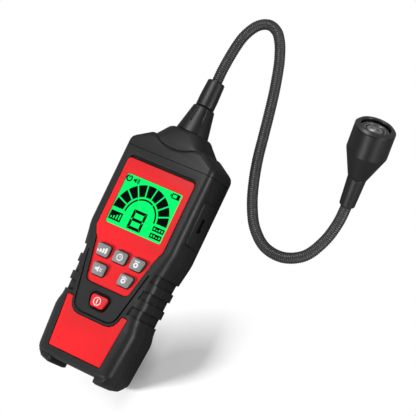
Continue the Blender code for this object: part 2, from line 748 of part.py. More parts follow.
def tongue_corners():
    """The band of the groove round the tongue, as one closed outline."""
    half = TONGUE_GROOVE / 2
    outer = [
        (TONGUE_TOP_HALF_WIDTH + half, TONGUE_TOP_Y, 0),
        (TONGUE_LOW_HALF_WIDTH + half, TONGUE_LOW_Y - half, TONGUE_RADIUS + half),
    ]
    inner = [
        (TONGUE_TOP_HALF_WIDTH - half, TONGUE_TOP_Y, 0),
        (TONGUE_LOW_HALF_WIDTH - half, TONGUE_LOW_Y + half, TONGUE_RADIUS - half),
    ]
    left_outer = [(-x, y, radius) for x, y, radius in outer]
    left_inner = [(-x, y, radius) for x, y, radius in inner]
    return outer[::-1] + inner + left_inner[::-1] + left_outer


def row_key(y, side, centred=False):
    """The outline of a key in a row: the middle one, or one whose outer side follows the fascia's."""
    top = y + KEY_HEIGHT / 2
    low = y - KEY_HEIGHT / 2
    if centred:
        return mirrored([
            (CENTRE_KEY_HALF_WIDTH, top, KEY_RADIUS),
            (CENTRE_KEY_HALF_WIDTH, low, KEY_RADIUS),
        ])
    outer_top = fascia_half_width(top) - KEY_SIDE_MARGIN
    outer_low = fascia_half_width(low) - KEY_SIDE_MARGIN
    inner = outer_top - SIDE_KEY_WIDTH
    corners = [
        (inner, low, KEY_RADIUS),
        (outer_low, low, KEY_RADIUS),
        (outer_top, top, KEY_RADIUS),
        (inner, top, KEY_RADIUS),
    ]
    if side < 0:
        corners = [(-x, y, radius) for x, y, radius in reversed(corners)]
    return corners


POWER_CORNERS = mirrored([
    (POWER_TOP_HALF_WIDTH, POWER_TOP_Y, POWER_RADIUS),
    (POWER_LOW_HALF_WIDTH, POWER_LOW_Y, POWER_RADIUS),
])

KEYS = {
    "key_upper_left": row_key(UPPER_ROW_Y, -1),
    "key_upper_middle": row_key(UPPER_ROW_Y, 0, centred=True),
    "key_upper_right": row_key(UPPER_ROW_Y, 1),
    "key_lower_left": row_key(LOWER_ROW_Y, -1),
    "key_lower_right": row_key(LOWER_ROW_Y, 1),
    "power_key": POWER_CORNERS,
}


def middle_of(corners):
    """The middle of an outline's corners."""
    return (
        sum(x for x, _, _ in corners) / len(corners),
        sum(y for _, y, _ in corners) / len(corners),
    )


# Shells and cap
def screw_spots():
    """The casing screws' places: name and x, y."""
    return {
        "case_screw_upper_left": (-SCREW_X, SCREW_Y),
        "case_screw_upper_right": (SCREW_X, SCREW_Y),
        "case_screw_lower_left": (-LOW_SCREW_X, LOW_SCREW_Y),
        "case_screw_lower_right": (LOW_SCREW_X, LOW_SCREW_Y),
    }


def front_shell(casing):
    """The front half of the casing, with the fascia recesses, the window and the key holes."""
    shell = put("front_shell", casing.copy(), FRAME_PLASTIC)
    boolean(shell, block("below_parting", (-FAR, -FAR, -FAR), (FAR, FAR, PARTING_Z + GAP / 2)))
    boolean(shell, block("above_seam", (-FAR, SEAM_Y - GAP / 2, -FAR), (FAR, FAR, FAR)))
    for name, (x, y) in screw_spots().items():
        low = BOARD_TOP_Z + GAP if y > BOARD_FOOT_Y else BOARD_LOW_Z
        boolean(shell, rod(f"boss_{name}", x, y, low, CAVITY_TOP_Z + 1 * MM, BOSS_RADIUS), "UNION")
        hole = SCREW_SHANK_RADIUS + SCREW_CLEARANCE
        boolean(shell, rod(f"pilot_{name}", x, y, 0, SCREW_TIP_Z + GAP, hole))
    high = 2 * CASING_THICKNESS
    boolean(shell, slab("fascia_bed", fascia_corners(), FASCIA_FLOOR_Z, high, grow=FASCIA_MARGIN))
    relief_low = CASING_THICKNESS - TOP_RELIEF_DEPTH
    half = FASCIA_HALF_WIDTH - 0.5 * MM
    relief = mirrored([
        (half, FASCIA_TOP_Y + FASCIA_MARGIN + TOP_RELIEF, 2.5 * MM),
        (half, FASCIA_TOP_Y - 3 * MM, 1.0 * MM),
    ])
    boolean(shell, slab("fascia_relief", relief, relief_low, high))
    boolean(shell, slab("panel_bed", lower_panel_corners(), FASCIA_FLOOR_Z, high, grow=FASCIA_MARGIN))
    boolean(shell, slab("window_hole", window_corners(), PARTING_Z, high, grow=PANEL_OVERLAP + GAP))
    groove_low = CASING_THICKNESS - TONGUE_GROOVE_DEPTH
    boolean(shell, slab("tongue_groove", tongue_corners(), groove_low, high))
    well_low = CASING_THICKNESS - POWER_WELL_DEPTH
    boolean(shell, slab("power_well", POWER_CORNERS, well_low, high, grow=POWER_WELL_MARGIN))
    for name, corners in KEYS.items():
        boolean(shell, slab(f"hole_{name}", corners, PARTING_Z, high, grow=KEY_CLEARANCE))
    return shell


def rear_shell(casing):
    """The rear half of the casing, with the battery bay, the screw posts and the board's stand-offs."""
    shell = put("rear_shell", casing.copy(), REAR_PLASTIC)
    boolean(shell, block("above_parting", (-FAR, -FAR, PARTING_Z - GAP / 2), (FAR, FAR, FAR)))
    boolean(shell, block("above_seam_rear", (-FAR, SEAM_Y - GAP / 2, -FAR), (FAR, FAR, FAR)))
    bay = block(
        "bay_box",
        (-BAY_HALF_WIDTH - BAY_WALL, BAY_LOW_Y - BAY_WALL, CASING_WALL / 2),
        (BAY_HALF_WIDTH + BAY_WALL, BAY_HIGH_Y + BAY_WALL, BAY_CEILING_Z + BAY_WALL),
    )
    boolean(shell, bay, "UNION")
    post_top = BOARD_LOW_Z - GAP
    for name, (x, y) in screw_spots().items():
        boolean(shell, rod(f"post_{name}", x, y, CASING_WALL / 2, post_top, POST_RADIUS), "UNION")
    for side in (1, -1):
        x = side * STANDOFF_X
        low = BAY_CEILING_Z + BAY_WALL / 2
        post = rod(f"standoff_{side}", x, STANDOFF_Y, low, post_top, STANDOFF_RADIUS)
        boolean(shell, post, "UNION")
    bay_hole = block(
        "bay_hole",
        (-BAY_HALF_WIDTH, BAY_LOW_Y, -FAR),
        (BAY_HALF_WIDTH, BAY_HIGH_Y, BAY_CEILING_Z),
    )
    seat_z = COVER_RECESS + COVER_THICKNESS + GAP
    boss_low = COVER_RECESS + COVER_COUNTERBORE + COVER_THICKNESS / 2 + GAP
    boss = rod("cover_boss", 0, COVER_SCREW_Y, boss_low, BAY_CEILING_Z + BAY_WALL / 2, BOSS_RADIUS)
    boolean(bay_hole, boss)
    boolean(shell, bay_hole)
    ledge = BAY_HALF_WIDTH + BAY_LEDGE
    boolean(shell, block(
        "cover_seat",
        (-ledge, BAY_LOW_Y - BAY_LEDGE, -FAR),
        (ledge, BAY_HIGH_Y + BAY_LEDGE, seat_z),
    ))
    hole = SCREW_SHANK_RADIUS + SCREW_CLEARANCE
    for name, (x, y) in screw_spots().items():
        boolean(shell, rod(f"clearance_{name}", x, y, -FAR, FAR, hole))
        head = SCREW_HEAD_RADIUS + SCREW_CLEARANCE
        boolean(shell, rod(f"counterbore_{name}", x, y, -FAR, COUNTERBORE_DEPTH, head))
    boolean(shell, rod("cover_pilot", 0, COVER_SCREW_Y, -FAR, BAY_CEILING_Z - 1 * MM, hole))
    for side in (1, -1):
        contact = CONTACT_RADIUS + GAP
        boolean(shell, rod(f"contact_hole_{side}", side * CONTACT_X, CONTACT_Y, PACK_TOP_Z, FAR, contact))
    return shell


def top_cap(casing):
    """The cap over the casing's crest, which carries the gooseneck."""
    cap = put("top_cap", casing.copy(), FRAME_PLASTIC)
    return boolean(cap, block("below_seam", (-FAR, -FAR, -FAR), (FAR, SEAM_Y + GAP / 2, FAR)))


# Fascia, window and display
def display_fascia():
    """The red fascia: its display part stands above its keypad part, with a slope between."""
    low = FASCIA_FLOOR_Z + GAP
    fascia = slab("display_fascia", fascia_corners(), low, FASCIA_TOP_Z, RED_PLASTIC, top_edge=0.4 * MM)
    side = 2 * FASCIA_HALF_WIDTH
    wedge = loft("keypad_step", [
        [(x, STEP_HIGH_Y, FASCIA_TOP_Z), (x, STEP_LOW_Y, KEYPAD_TOP_Z), (x, -FAR, KEYPAD_TOP_Z),
         (x, -FAR, 2 * FASCIA_TOP_Z), (x, STEP_HIGH_Y, 2 * FASCIA_TOP_Z)]
        for x in (-side, side)
    ])
    boolean(fascia, wedge)
    boolean(fascia, slab("window_opening", window_corners(), 0, 2 * CASING_THICKNESS))
    for name, corners in KEYS.items():
        if name != "power_key":
            cutter = slab(f"fascia_{name}", corners, 0, 2 * CASING_THICKNESS, grow=KEY_CLEARANCE)
            boolean(fascia, cutter)
    return fascia


def display_stack():
    """The window in the fascia, the display panel that rises to it, and the holder under its flange."""
    high = FASCIA_TOP_Z - WINDOW_RECESS
    low = high - WINDOW_THICKNESS
    slab("display_window", window_corners(), low, high, WINDOW_CLEAR, grow=-GAP)
    panel_low = FASCIA_FLOOR_Z - PANEL_THICKNESS
    panel = slab("display_panel", window_corners(), panel_low, FASCIA_FLOOR_Z, DISPLAY_GREEN, grow=PANEL_OVERLAP)
    face_low = panel_low + PANEL_THICKNESS / 2
    boolean(panel, slab("panel_face", window_corners(), face_low, low - GAP, grow=-GAP), "UNION")
    holder = slab(
        "panel_holder", window_corners(), BOARD_TOP_Z + GAP, panel_low - GAP, WHITE_PLASTIC, grow=PANEL_OVERLAP
    )
    grow = PANEL_OVERLAP - HOLDER_WALL
    tray = slab("holder_tray", window_corners(), BOARD_TOP_Z + HOLDER_WALL, CASING_THICKNESS, grow=grow)
    boolean(holder, tray)


def lower_panel():
    """The red panel below the keys."""
    low = FASCIA_FLOOR_Z + GAP
    high = CASING_THICKNESS - 0.3 * MM
    slab("lower_panel", lower_panel_corners(), low, high, RED_PLASTIC, top_edge=0.3 * MM)


# Keys and their switches
def keys():
    """Every key, made about its own place, and the switch under it."""
    for name, corners in KEYS.items():
        powered = name == "power_key"
        top = CASING_THICKNESS + POWER_RISE if powered else KEYPAD_TOP_Z + KEY_RISE
        flange_top = CAVITY_TOP_Z - GAP
        flange_low = flange_top - KEY_FLANGE_THICKNESS
        x, y = middle_of(corners)
        local = [(a - x, b - y, radius) for a, b, radius in corners]
        material = RED_PLASTIC if powered else KEY_RUBBER
        cap = slab(name, local, flange_low - top + 0.4 * MM, 0.0, material, top_edge=KEY_EDGE)
        cap.location = (x, y, top)
        flange = slab(f"flange_{name}", corners, flange_low, flange_top, grow=KEY_FLANGE)
        boolean(cap, flange, "UNION")
        seat = BOARD_TOP_Z + GAP + SWITCH_HEIGHT - SWITCH_WELL_DEPTH
        stem = rod(f"stem_{name}", x, y, seat + GAP + KEY_TRAVEL, flange_top, KEY_STEM_RADIUS)
        boolean(cap, stem, "UNION")
        switch(name.replace("key", "switch"), x, y)


def switch(name, x, y):
    """A push switch on the board, with the well that takes the key's stem."""
    half = SWITCH_SIZE / 2
    low = BOARD_TOP_Z + GAP
    high = low + SWITCH_HEIGHT
    body = block(name, (x - half, y - half, low), (x + half, y + half, high), COMPONENT_BLACK)
    well_low = high - SWITCH_WELL_DEPTH
    boolean(body, rod(f"well_{name}", x, y, well_low, high + 1 * MM, SWITCH_WELL_RADIUS))


# Board and what it carries
def main_board():
    """The circuit board, with holes for the upper casing screws."""
    corners = mirrored([
        (BOARD_HALF_WIDTH, BOARD_TOP_Y, BOARD_RADIUS),
        (BOARD_HALF_WIDTH, BOARD_STEP_Y, BOARD_RADIUS),
        (BOARD_WAIST_HALF_WIDTH, BOARD_STEP_Y - BOARD_STEP_LENGTH, BOARD_RADIUS),
        (BOARD_WAIST_HALF_WIDTH, BOARD_FOOT_Y, BOARD_RADIUS),
    ])
    board = slab("main_board", corners, BOARD_LOW_Z, BOARD_TOP_Z, BOARD_GREEN)
    for side in (1, -1):
        hole = SCREW_SHANK_RADIUS + SCREW_CLEARANCE
        boolean(board, rod(f"board_hole_{side}", side * SCREW_X, SCREW_Y, 0, FAR, hole))
    top = BOARD_LOW_Z - GAP
    rod("buzzer", BUZZER_X, BUZZER_Y, top - BUZZER_HEIGHT, top, BUZZER_RADIUS, COMPONENT_BLACK, ROUND_SIDES)
    half = CHIP_SIZE / 2
    block(
        "processor_chip",
        (CHIP_X - half, CHIP_Y - half, top - CHIP_HEIGHT),
        (CHIP_X + half, CHIP_Y + half, top),
        COMPONENT_BLACK,
    )


def charge_socket():
    """The charging socket under the board, its mouth behind the slot in the right flank."""
    outer = UPPER_HALF_WIDTH - CASING_WALL - GAP
    half = PORT_LENGTH / 2
    body = block(
        "charge_socket",
        (outer - SOCKET_DEPTH, PORT_Y - half, PARTING_Z - PORT_HEIGHT / 2),
        (outer, PORT_Y + half, BOARD_LOW_Z - GAP),
        STEEL,
    )
    mouth = SOCKET_MOUTH_LENGTH / 2
    corners = [
        (PORT_Y - mouth, PARTING_Z - SOCKET_MOUTH_HEIGHT / 2, 1.2 * MM),
        (PORT_Y + mouth, PARTING_Z - SOCKET_MOUTH_HEIGHT / 2, 1.2 * MM),
        (PORT_Y + mouth, PARTING_Z + SOCKET_MOUTH_HEIGHT / 2, 1.2 * MM),
        (PORT_Y - mouth, PARTING_Z + SOCKET_MOUTH_HEIGHT / 2, 1.2 * MM),
    ]
    boolean(body, slab("socket_mouth", corners, outer - 0.8 * SOCKET_DEPTH, FAR, turn=ACROSS))


# Battery
PACK_LOW_Z = COVER_RECESS + COVER_THICKNESS + GAP
PACK_TOP_Z = BAY_CEILING_Z - GAP


def battery():
    """The battery pack, its two contact pins and the cover that closes its bay."""
    low_y = BAY_LOW_Y + PACK_MARGIN
    corners = mirrored([
        (PACK_HALF_WIDTH, low_y + PACK_LENGTH, PACK_ROUNDING),
        (PACK_HALF_WIDTH, low_y, PACK_ROUNDING),
    ])
    slab("battery_pack", corners, PACK_LOW_Z, PACK_TOP_Z, PACK_WRAP, top_edge=PACK_EDGE, low_edge=PACK_EDGE)
    for side, word in ((-1, "left"), (1, "right")):
        x = side * CONTACT_X
        low = PACK_TOP_Z + GAP
        rod(f"battery_contact_{word}", x, CONTACT_Y, low, BOARD_LOW_Z - GAP, CONTACT_RADIUS, BRASS)
    edge = BAY_LEDGE - GAP
    cover_corners = mirrored([
        (BAY_HALF_WIDTH + edge, BAY_HIGH_Y + edge, 0.6 * MM),
        (BAY_HALF_WIDTH + edge, BAY_LOW_Y - edge, 0.6 * MM),
    ])
    top = COVER_RECESS + COVER_THICKNESS
    cover = slab("battery_cover", cover_corners, COVER_RECESS, top, REAR_PLASTIC)
    for number in range(COVER_RIDGES):
        y = BAY_LOW_Y + COVER_RIDGE_MARGIN + number * COVER_RIDGE_PITCH
        boolean(cover, block(
            f"thumb_groove_{number}",
            (-COVER_RIDGE_HALF_LENGTH, y - COVER_RIDGE_WIDTH / 2, -FAR),
            (COVER_RIDGE_HALF_LENGTH, y + COVER_RIDGE_WIDTH / 2, COVER_RECESS + COVER_RIDGE_DEPTH),
        ))
    cup_low = COVER_RECESS + COVER_THICKNESS - 1 * MM
    cup_top = COVER_RECESS + COVER_COUNTERBORE + COVER_THICKNESS / 2
    cup_radius = SCREW_HEAD_RADIUS + SCREW_CLEARANCE + 1 * MM
    boolean(cover, rod("cover_cup", 0, COVER_SCREW_Y, cup_low, cup_top, cup_radius), "UNION")
    head = SCREW_HEAD_RADIUS + SCREW_CLEARANCE
    counterbore_top = COVER_RECESS + COVER_COUNTERBORE
    boolean(cover, rod("cover_counterbore", 0, COVER_SCREW_Y, -FAR, counterbore_top, head))
    hole = SCREW_SHANK_RADIUS + SCREW_CLEARANCE
    boolean(cover, rod("cover_hole", 0, COVER_SCREW_Y, -FAR, FAR, hole))


def screw(name, x, y, head_low, tip):
    """A cross-slotted screw, its head down."""
    thing = turned(name, [
        (0.0, tip),
        (0.6 * SCREW_SHANK_RADIUS, tip),
        (SCREW_SHANK_RADIUS, tip - SCREW_SHANK_RADIUS),
        (SCREW_SHANK_RADIUS, head_low + SCREW_HEAD_HEIGHT),
        (SCREW_HEAD_RADIUS, head_low + SCREW_HEAD_HEIGHT),
        (SCREW_HEAD_RADIUS, head_low + 0.3 * SCREW_HEAD_HEIGHT),
        (0.8 * SCREW_HEAD_RADIUS, head_low),
        (0.0, head_low),
    ], STEEL, sides=SMALL_SIDES)
    thing.location = (x, y, 0)
    long = 0.6 * SCREW_HEAD_RADIUS
    thin = 0.18 * SCREW_HEAD_RADIUS
    depth = head_low + 0.5 * SCREW_HEAD_HEIGHT
    bar = block(f"slot_{name}", (x - long, y - thin, -FAR), (x + long, y + thin, depth))
    boolean(bar, block(f"cross_{name}", (x - thin, y - long, -FAR), (x + thin, y + long, depth)), "UNION")
    boolean(thing, bar)


def screws():
    """The four casing screws and the battery cover's screw."""
    head_low = COUNTERBORE_DEPTH - GAP - SCREW_HEAD_HEIGHT
    for name, (x, y) in screw_spots().items():
        screw(name, x, y, head_low, SCREW_TIP_Z)
    cover_head_low = COVER_RECESS + COVER_COUNTERBORE - GAP - SCREW_HEAD_HEIGHT
    screw("battery_cover_screw", 0.0, COVER_SCREW_Y, cover_head_low, BAY_CEILING_Z - 2 * MM)


# Gooseneck and fittings
def along_neck(thing, y):
    """Turns a piece made about Z to lie along Y at the gooseneck's height."""
    thing.location = (0, y, PARTING_Z)
    thing.rotation_euler = (-math.pi / 2, 0, 0)
    return thing


def neck_fittings():
    """The nut inside the cap, and the boot and the sleeve outside it."""
    nut_y = CREST_Y - CASING_WALL - GAP - NUT_HEIGHT
    nut = rod("neck_nut", 0, 0, 0, NUT_HEIGHT, NUT_RADIUS, BRASS, sides=6)
    boolean(along_neck(nut, nut_y), along_neck(rod("nut_bore", 0, 0, -FAR, FAR, NECK_BORE), 0))
    soft = EDGE_SOFTENING
    boot_y = HUMP_TIP_Y + GAP
    boot = turned("neck_boot", [
        (NECK_BORE, BOOT_LENGTH),
        (BOOT_TIP_RADIUS - soft, BOOT_LENGTH),
        (BOOT_TIP_RADIUS, BOOT_LENGTH - soft),
        (BOOT_BASE_RADIUS, 0.0),
        (NECK_BORE, 0.0),
    ], BLACK_RUBBER, closed=True)
    along_neck(boot, boot_y)
    slot_low = BOOT_LENGTH - BOOT_SLOT_MARGIN - BOOT_SLOT_LENGTH
    taper = math.atan((BOOT_BASE_RADIUS - BOOT_TIP_RADIUS) / BOOT_LENGTH)
    middle = slot_low + BOOT_SLOT_LENGTH / 2
    surface = BOOT_BASE_RADIUS + (BOOT_TIP_RADIUS - BOOT_BASE_RADIUS) * middle / BOOT_LENGTH
    for number in range(BOOT_SLOTS):
        half_width = BOOT_SLOT_WIDTH / 2
        half_length = BOOT_SLOT_LENGTH / 2
        cutter = block(
            f"boot_slot_{number}",
            (-BOOT_SLOT_DEPTH, -half_width, -half_length),
            (BOOT_SLOT_DEPTH * 2, half_width, half_length),
        )
        spin = Matrix.Rotation(2 * math.pi * number / BOOT_SLOTS, 4, "Z")
        lean = Matrix.Translation((surface, 0, middle)) @ Matrix.Rotation(-taper, 4, "Y")
        frame = Matrix.Translation((0, boot_y, PARTING_Z)) @ Matrix.Rotation(-math.pi / 2, 4, "X")
        cutter.matrix_world = frame @ spin @ lean
        boolean(boot, cutter)
    sleeve = turned("neck_sleeve", [
        (NECK_BORE, SLEEVE_LENGTH),
        (SLEEVE_TIP_RADIUS - soft, SLEEVE_LENGTH),
        (SLEEVE_TIP_RADIUS, SLEEVE_LENGTH - soft),
        (SLEEVE_BASE_RADIUS, 0.4 * SLEEVE_LENGTH),
        (SLEEVE_BASE_RADIUS, 0.0),
        (NECK_BORE, 0.0),
    ], BLACK_RUBBER, closed=True)
    along_neck(sleeve, boot_y + BOOT_LENGTH + GAP)


def neck_knots():
    """The gooseneck's knots from inside the cap to inside the sensor head's sleeve."""
    aim = Vector(HEAD_AIM).normalized()
    start = Vector(HEAD_START)
    sleeve_top = HUMP_TIP_Y + GAP + BOOT_LENGTH + GAP + SLEEVE_LENGTH
    run = sleeve_top - NECK_START_Y
    straight = [Vector((0, NECK_START_Y + run * share, PARTING_Z)) for share in (0, 0.35, 0.7, 1)]
    bends = [Vector(point) * MM for point in NECK_ROUTE]
    return straight + bends + [start, start + aim * (HEAD_SLEEVE_LENGTH - GAP)]


def gooseneck():
    """The ribbed gooseneck, its crests and roots half a pitch apart."""
    route = smooth_route(neck_knots(), NECK_RIB_PITCH / 2)
    radii = [1.0 if index % 2 else NECK_ROOT_SHARE for index in range(len(route))]
    tube("gooseneck", route, NECK_RADIUS, GOOSENECK_COAT, radii)


# Sensor head
def sensor_head():
    """The head at the gooseneck's end: sleeve, housing, rim, and the sensor in its mouth."""
    frame = bpy.data.objects.new("head_frame", None)
    PARTS.objects.link(frame)
    frame.location = HEAD_START
    frame.rotation_mode = "QUATERNION"
    frame.rotation_quaternion = Vector(HEAD_AIM).to_track_quat("Z", "Y")
    soft = EDGE_SOFTENING
    sleeve = turned("head_sleeve", [
        (NECK_BORE, HEAD_SLEEVE_LENGTH),
        (HEAD_SLEEVE_RADIUS, HEAD_SLEEVE_LENGTH),
        (HEAD_SLEEVE_LOW_RADIUS, soft),
        (HEAD_SLEEVE_LOW_RADIUS - soft, 0.0),
        (NECK_BORE, 0.0),
    ], BLACK_RUBBER, closed=True)
    low = HEAD_SLEEVE_LENGTH + GAP
    shoulder = low + HEAD_CONE_LENGTH
    end = HEAD_SLEEVE_LENGTH + HEAD_CONE_LENGTH + HEAD_LENGTH
    rim_low = end - HEAD_RIM_HEIGHT
    floor = end - HEAD_FLOOR
    inner = HEAD_RADIUS - HEAD_WALL
    housing = turned("head_housing", [
        (inner, rim_low - GAP),
        (HEAD_RADIUS, rim_low - GAP),
        (HEAD_RADIUS, shoulder),
        (HEAD_CONE_RADIUS, low),
        (NECK_RADIUS * 0.6, low),
        (NECK_RADIUS * 0.6, floor),
        (inner, floor),
    ], REAR_PLASTIC, closed=True)
    rim = turned("head_rim", [
        (HEAD_MOUTH_RADIUS, end),
        (HEAD_RADIUS - HEAD_RIM_CHAMFER, end),
        (HEAD_RADIUS, end - HEAD_RIM_CHAMFER),
        (HEAD_RADIUS, rim_low),
        (HEAD_MOUTH_RADIUS, rim_low),
    ], REAR_PLASTIC, closed=True)
    can_top = end - CAN_RECESS
    can_radius = HEAD_MOUTH_RADIUS - GAP
    ring_out = CAN_RING_RADIUS + CAN_RING_WIDTH / 2
    ring_in = CAN_RING_RADIUS - CAN_RING_WIDTH / 2
    can = turned("sensor_can", [
        (0.0, can_top),
        (ring_in, can_top),
        (ring_in, can_top - CAN_RING_DEPTH),
        (ring_out, can_top - CAN_RING_DEPTH),
        (ring_out, can_top),
        (can_radius - soft, can_top),
        (can_radius, can_top - soft),
        (can_radius, can_top - CAN_HEIGHT),
        (0.0, can_top - CAN_HEIGHT),
    ], STEEL)
    base_top = can_top - CAN_HEIGHT - GAP
    base = turned("sensor_base", [
        (0.0, base_top),
        (inner - GAP, base_top),
        (inner - GAP, floor + GAP),
        (0.0, floor + GAP),
    ], BOARD_GREEN)
    for thing in (sleeve, housing, rim, can, base):
        thing.parent = frame
    for number in range(CAN_HOLES):
        angle = 2 * math.pi * number / CAN_HOLES
        spot = (CAN_HOLE_CIRCLE * math.cos(angle), CAN_HOLE_CIRCLE * math.sin(angle))
        hole = rod(f"can_hole_{number}", *spot, can_top - 1.5 * MM, can_top + 1 * MM, CAN_HOLE_RADIUS, sides=8)
        hole.parent = frame
        boolean(can, hole)


# Lead from the gooseneck to the board
def probe_lead():
    """The lead inside the casing, and the plug on the board that it runs into."""
    width, depth, height = PLUG_SIZE
    top = BOARD_LOW_Z - GAP
    block(
        "lead_plug",
        (PLUG_X - width / 2, PLUG_Y - depth / 2, top - height),
        (PLUG_X + width / 2, PLUG_Y + depth / 2, top),
        WHITE_PLASTIC,
    )
    start = Vector((0, NECK_START_Y - GAP, PARTING_Z))
    end = Vector((PLUG_X, PLUG_Y + depth / 2 + GAP, top - height / 2))
    run = Vector((0, LEAD_RUN, 0))
    knots = [start, start - run, end + run, end]
    tube("probe_lead", smooth_route(knots, LEAD_STEP), LEAD_RADIUS, COMPONENT_BLACK)


casing_mesh = whole_casing()
front_shell(casing_mesh)
rear_shell(casing_mesh)
top_cap(casing_mesh)
display_fascia()
display_stack()
lower_panel()
keys()
main_board()
charge_socket()
battery()
screws()
neck_fittings()
gooseneck()
sensor_head()
probe_lead()
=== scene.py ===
"""Looks of a handheld leak detector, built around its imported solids.

Lengths are metres; flat marks and the gooseneck's route are written in millimetres.
X runs across the display, Y towards the gooseneck and Z out of the display.
"""

import logging
import math
from dataclasses import dataclass, field
from enum import Enum
from functools import cache
from typing import Any, Callable

import bpy
import numpy as np
from mathutils import Matrix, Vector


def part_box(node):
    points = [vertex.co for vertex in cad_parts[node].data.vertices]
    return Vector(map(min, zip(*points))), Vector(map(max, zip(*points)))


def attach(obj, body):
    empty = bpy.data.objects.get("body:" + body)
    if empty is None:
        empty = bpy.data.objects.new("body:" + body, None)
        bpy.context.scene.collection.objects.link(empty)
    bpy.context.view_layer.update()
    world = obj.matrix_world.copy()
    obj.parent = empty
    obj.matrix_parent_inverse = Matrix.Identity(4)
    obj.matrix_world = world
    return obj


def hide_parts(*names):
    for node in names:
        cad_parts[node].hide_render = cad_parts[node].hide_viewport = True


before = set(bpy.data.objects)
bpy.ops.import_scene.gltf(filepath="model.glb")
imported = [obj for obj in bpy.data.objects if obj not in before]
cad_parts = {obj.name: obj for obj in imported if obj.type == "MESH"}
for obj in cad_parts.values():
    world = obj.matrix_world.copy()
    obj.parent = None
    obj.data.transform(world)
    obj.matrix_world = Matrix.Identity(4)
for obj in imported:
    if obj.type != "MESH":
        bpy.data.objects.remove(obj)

MM = 0.001
TURN = 2 * math.pi
POLE_MERGE = 1e-6
SAME_REACH = 1e-7
SIDE_SHARE = 0.45
CASING = "casing"
Array = np.ndarray
Colour = tuple[float, float, float]
Point = tuple[float, float, float]
Spot = tuple[float, float]
Patch = tuple[Array, Array]
Relief = Callable[[Array, Array, Array], tuple[Array, Array]]
log = logging.getLogger("detector")


# Shader maths
class Sock:
    """A shader value that takes part in Python arithmetic by adding Math nodes."""

    def __init__(self, tree: bpy.types.NodeTree, link: bpy.types.NodeSocket) -> None:
        """Keeps the tree and the output socket that carries the value."""
        self.tree = tree
        self.link = link

    def maths(self, operation: str, *terms: Any) -> "Sock":
        """Adds one Math node.

        Args:
            operation: The node's operation.
            terms: Numbers or values, in the order of the node's inputs.

        Returns:
            The node's result.
        """
        node = self.tree.nodes.new("ShaderNodeMath")
        node.operation = operation
        for socket, term in zip(node.inputs, terms):
            if isinstance(term, Sock):
                self.tree.links.new(term.link, socket)
            else:
                socket.default_value = term
        return Sock(self.tree, node.outputs[0])

    def __add__(self, other: Any) -> "Sock":
        """The sum."""
        return self.maths("ADD", self, other)

    __radd__ = __add__

    def __mul__(self, other: Any) -> "Sock":
        """The product."""
        return self.maths("MULTIPLY", self, other)

    __rmul__ = __mul__

    def __sub__(self, other: Any) -> "Sock":
        """The difference."""
        return self.maths("SUBTRACT", self, other)

    def __rsub__(self, other: Any) -> "Sock":
        """The difference with this value taken away."""
        return self.maths("SUBTRACT", other, self)

    def wave(self) -> "Sock":
        """The sine."""
        return self.maths("SINE", self)

    def swing(self, width: float) -> "Sock":
        """How far the value is from a half, times a width."""
        return (self - 0.5) * width

    def ramp(self, low: float, high: float) -> "Sock":
        """Zero up to low, one from high on, and straight between them."""
        share = (self - low) * (1.0 / (high - low))
        return share.maths("MINIMUM", share.maths("MAXIMUM", share, 0.0), 1.0)


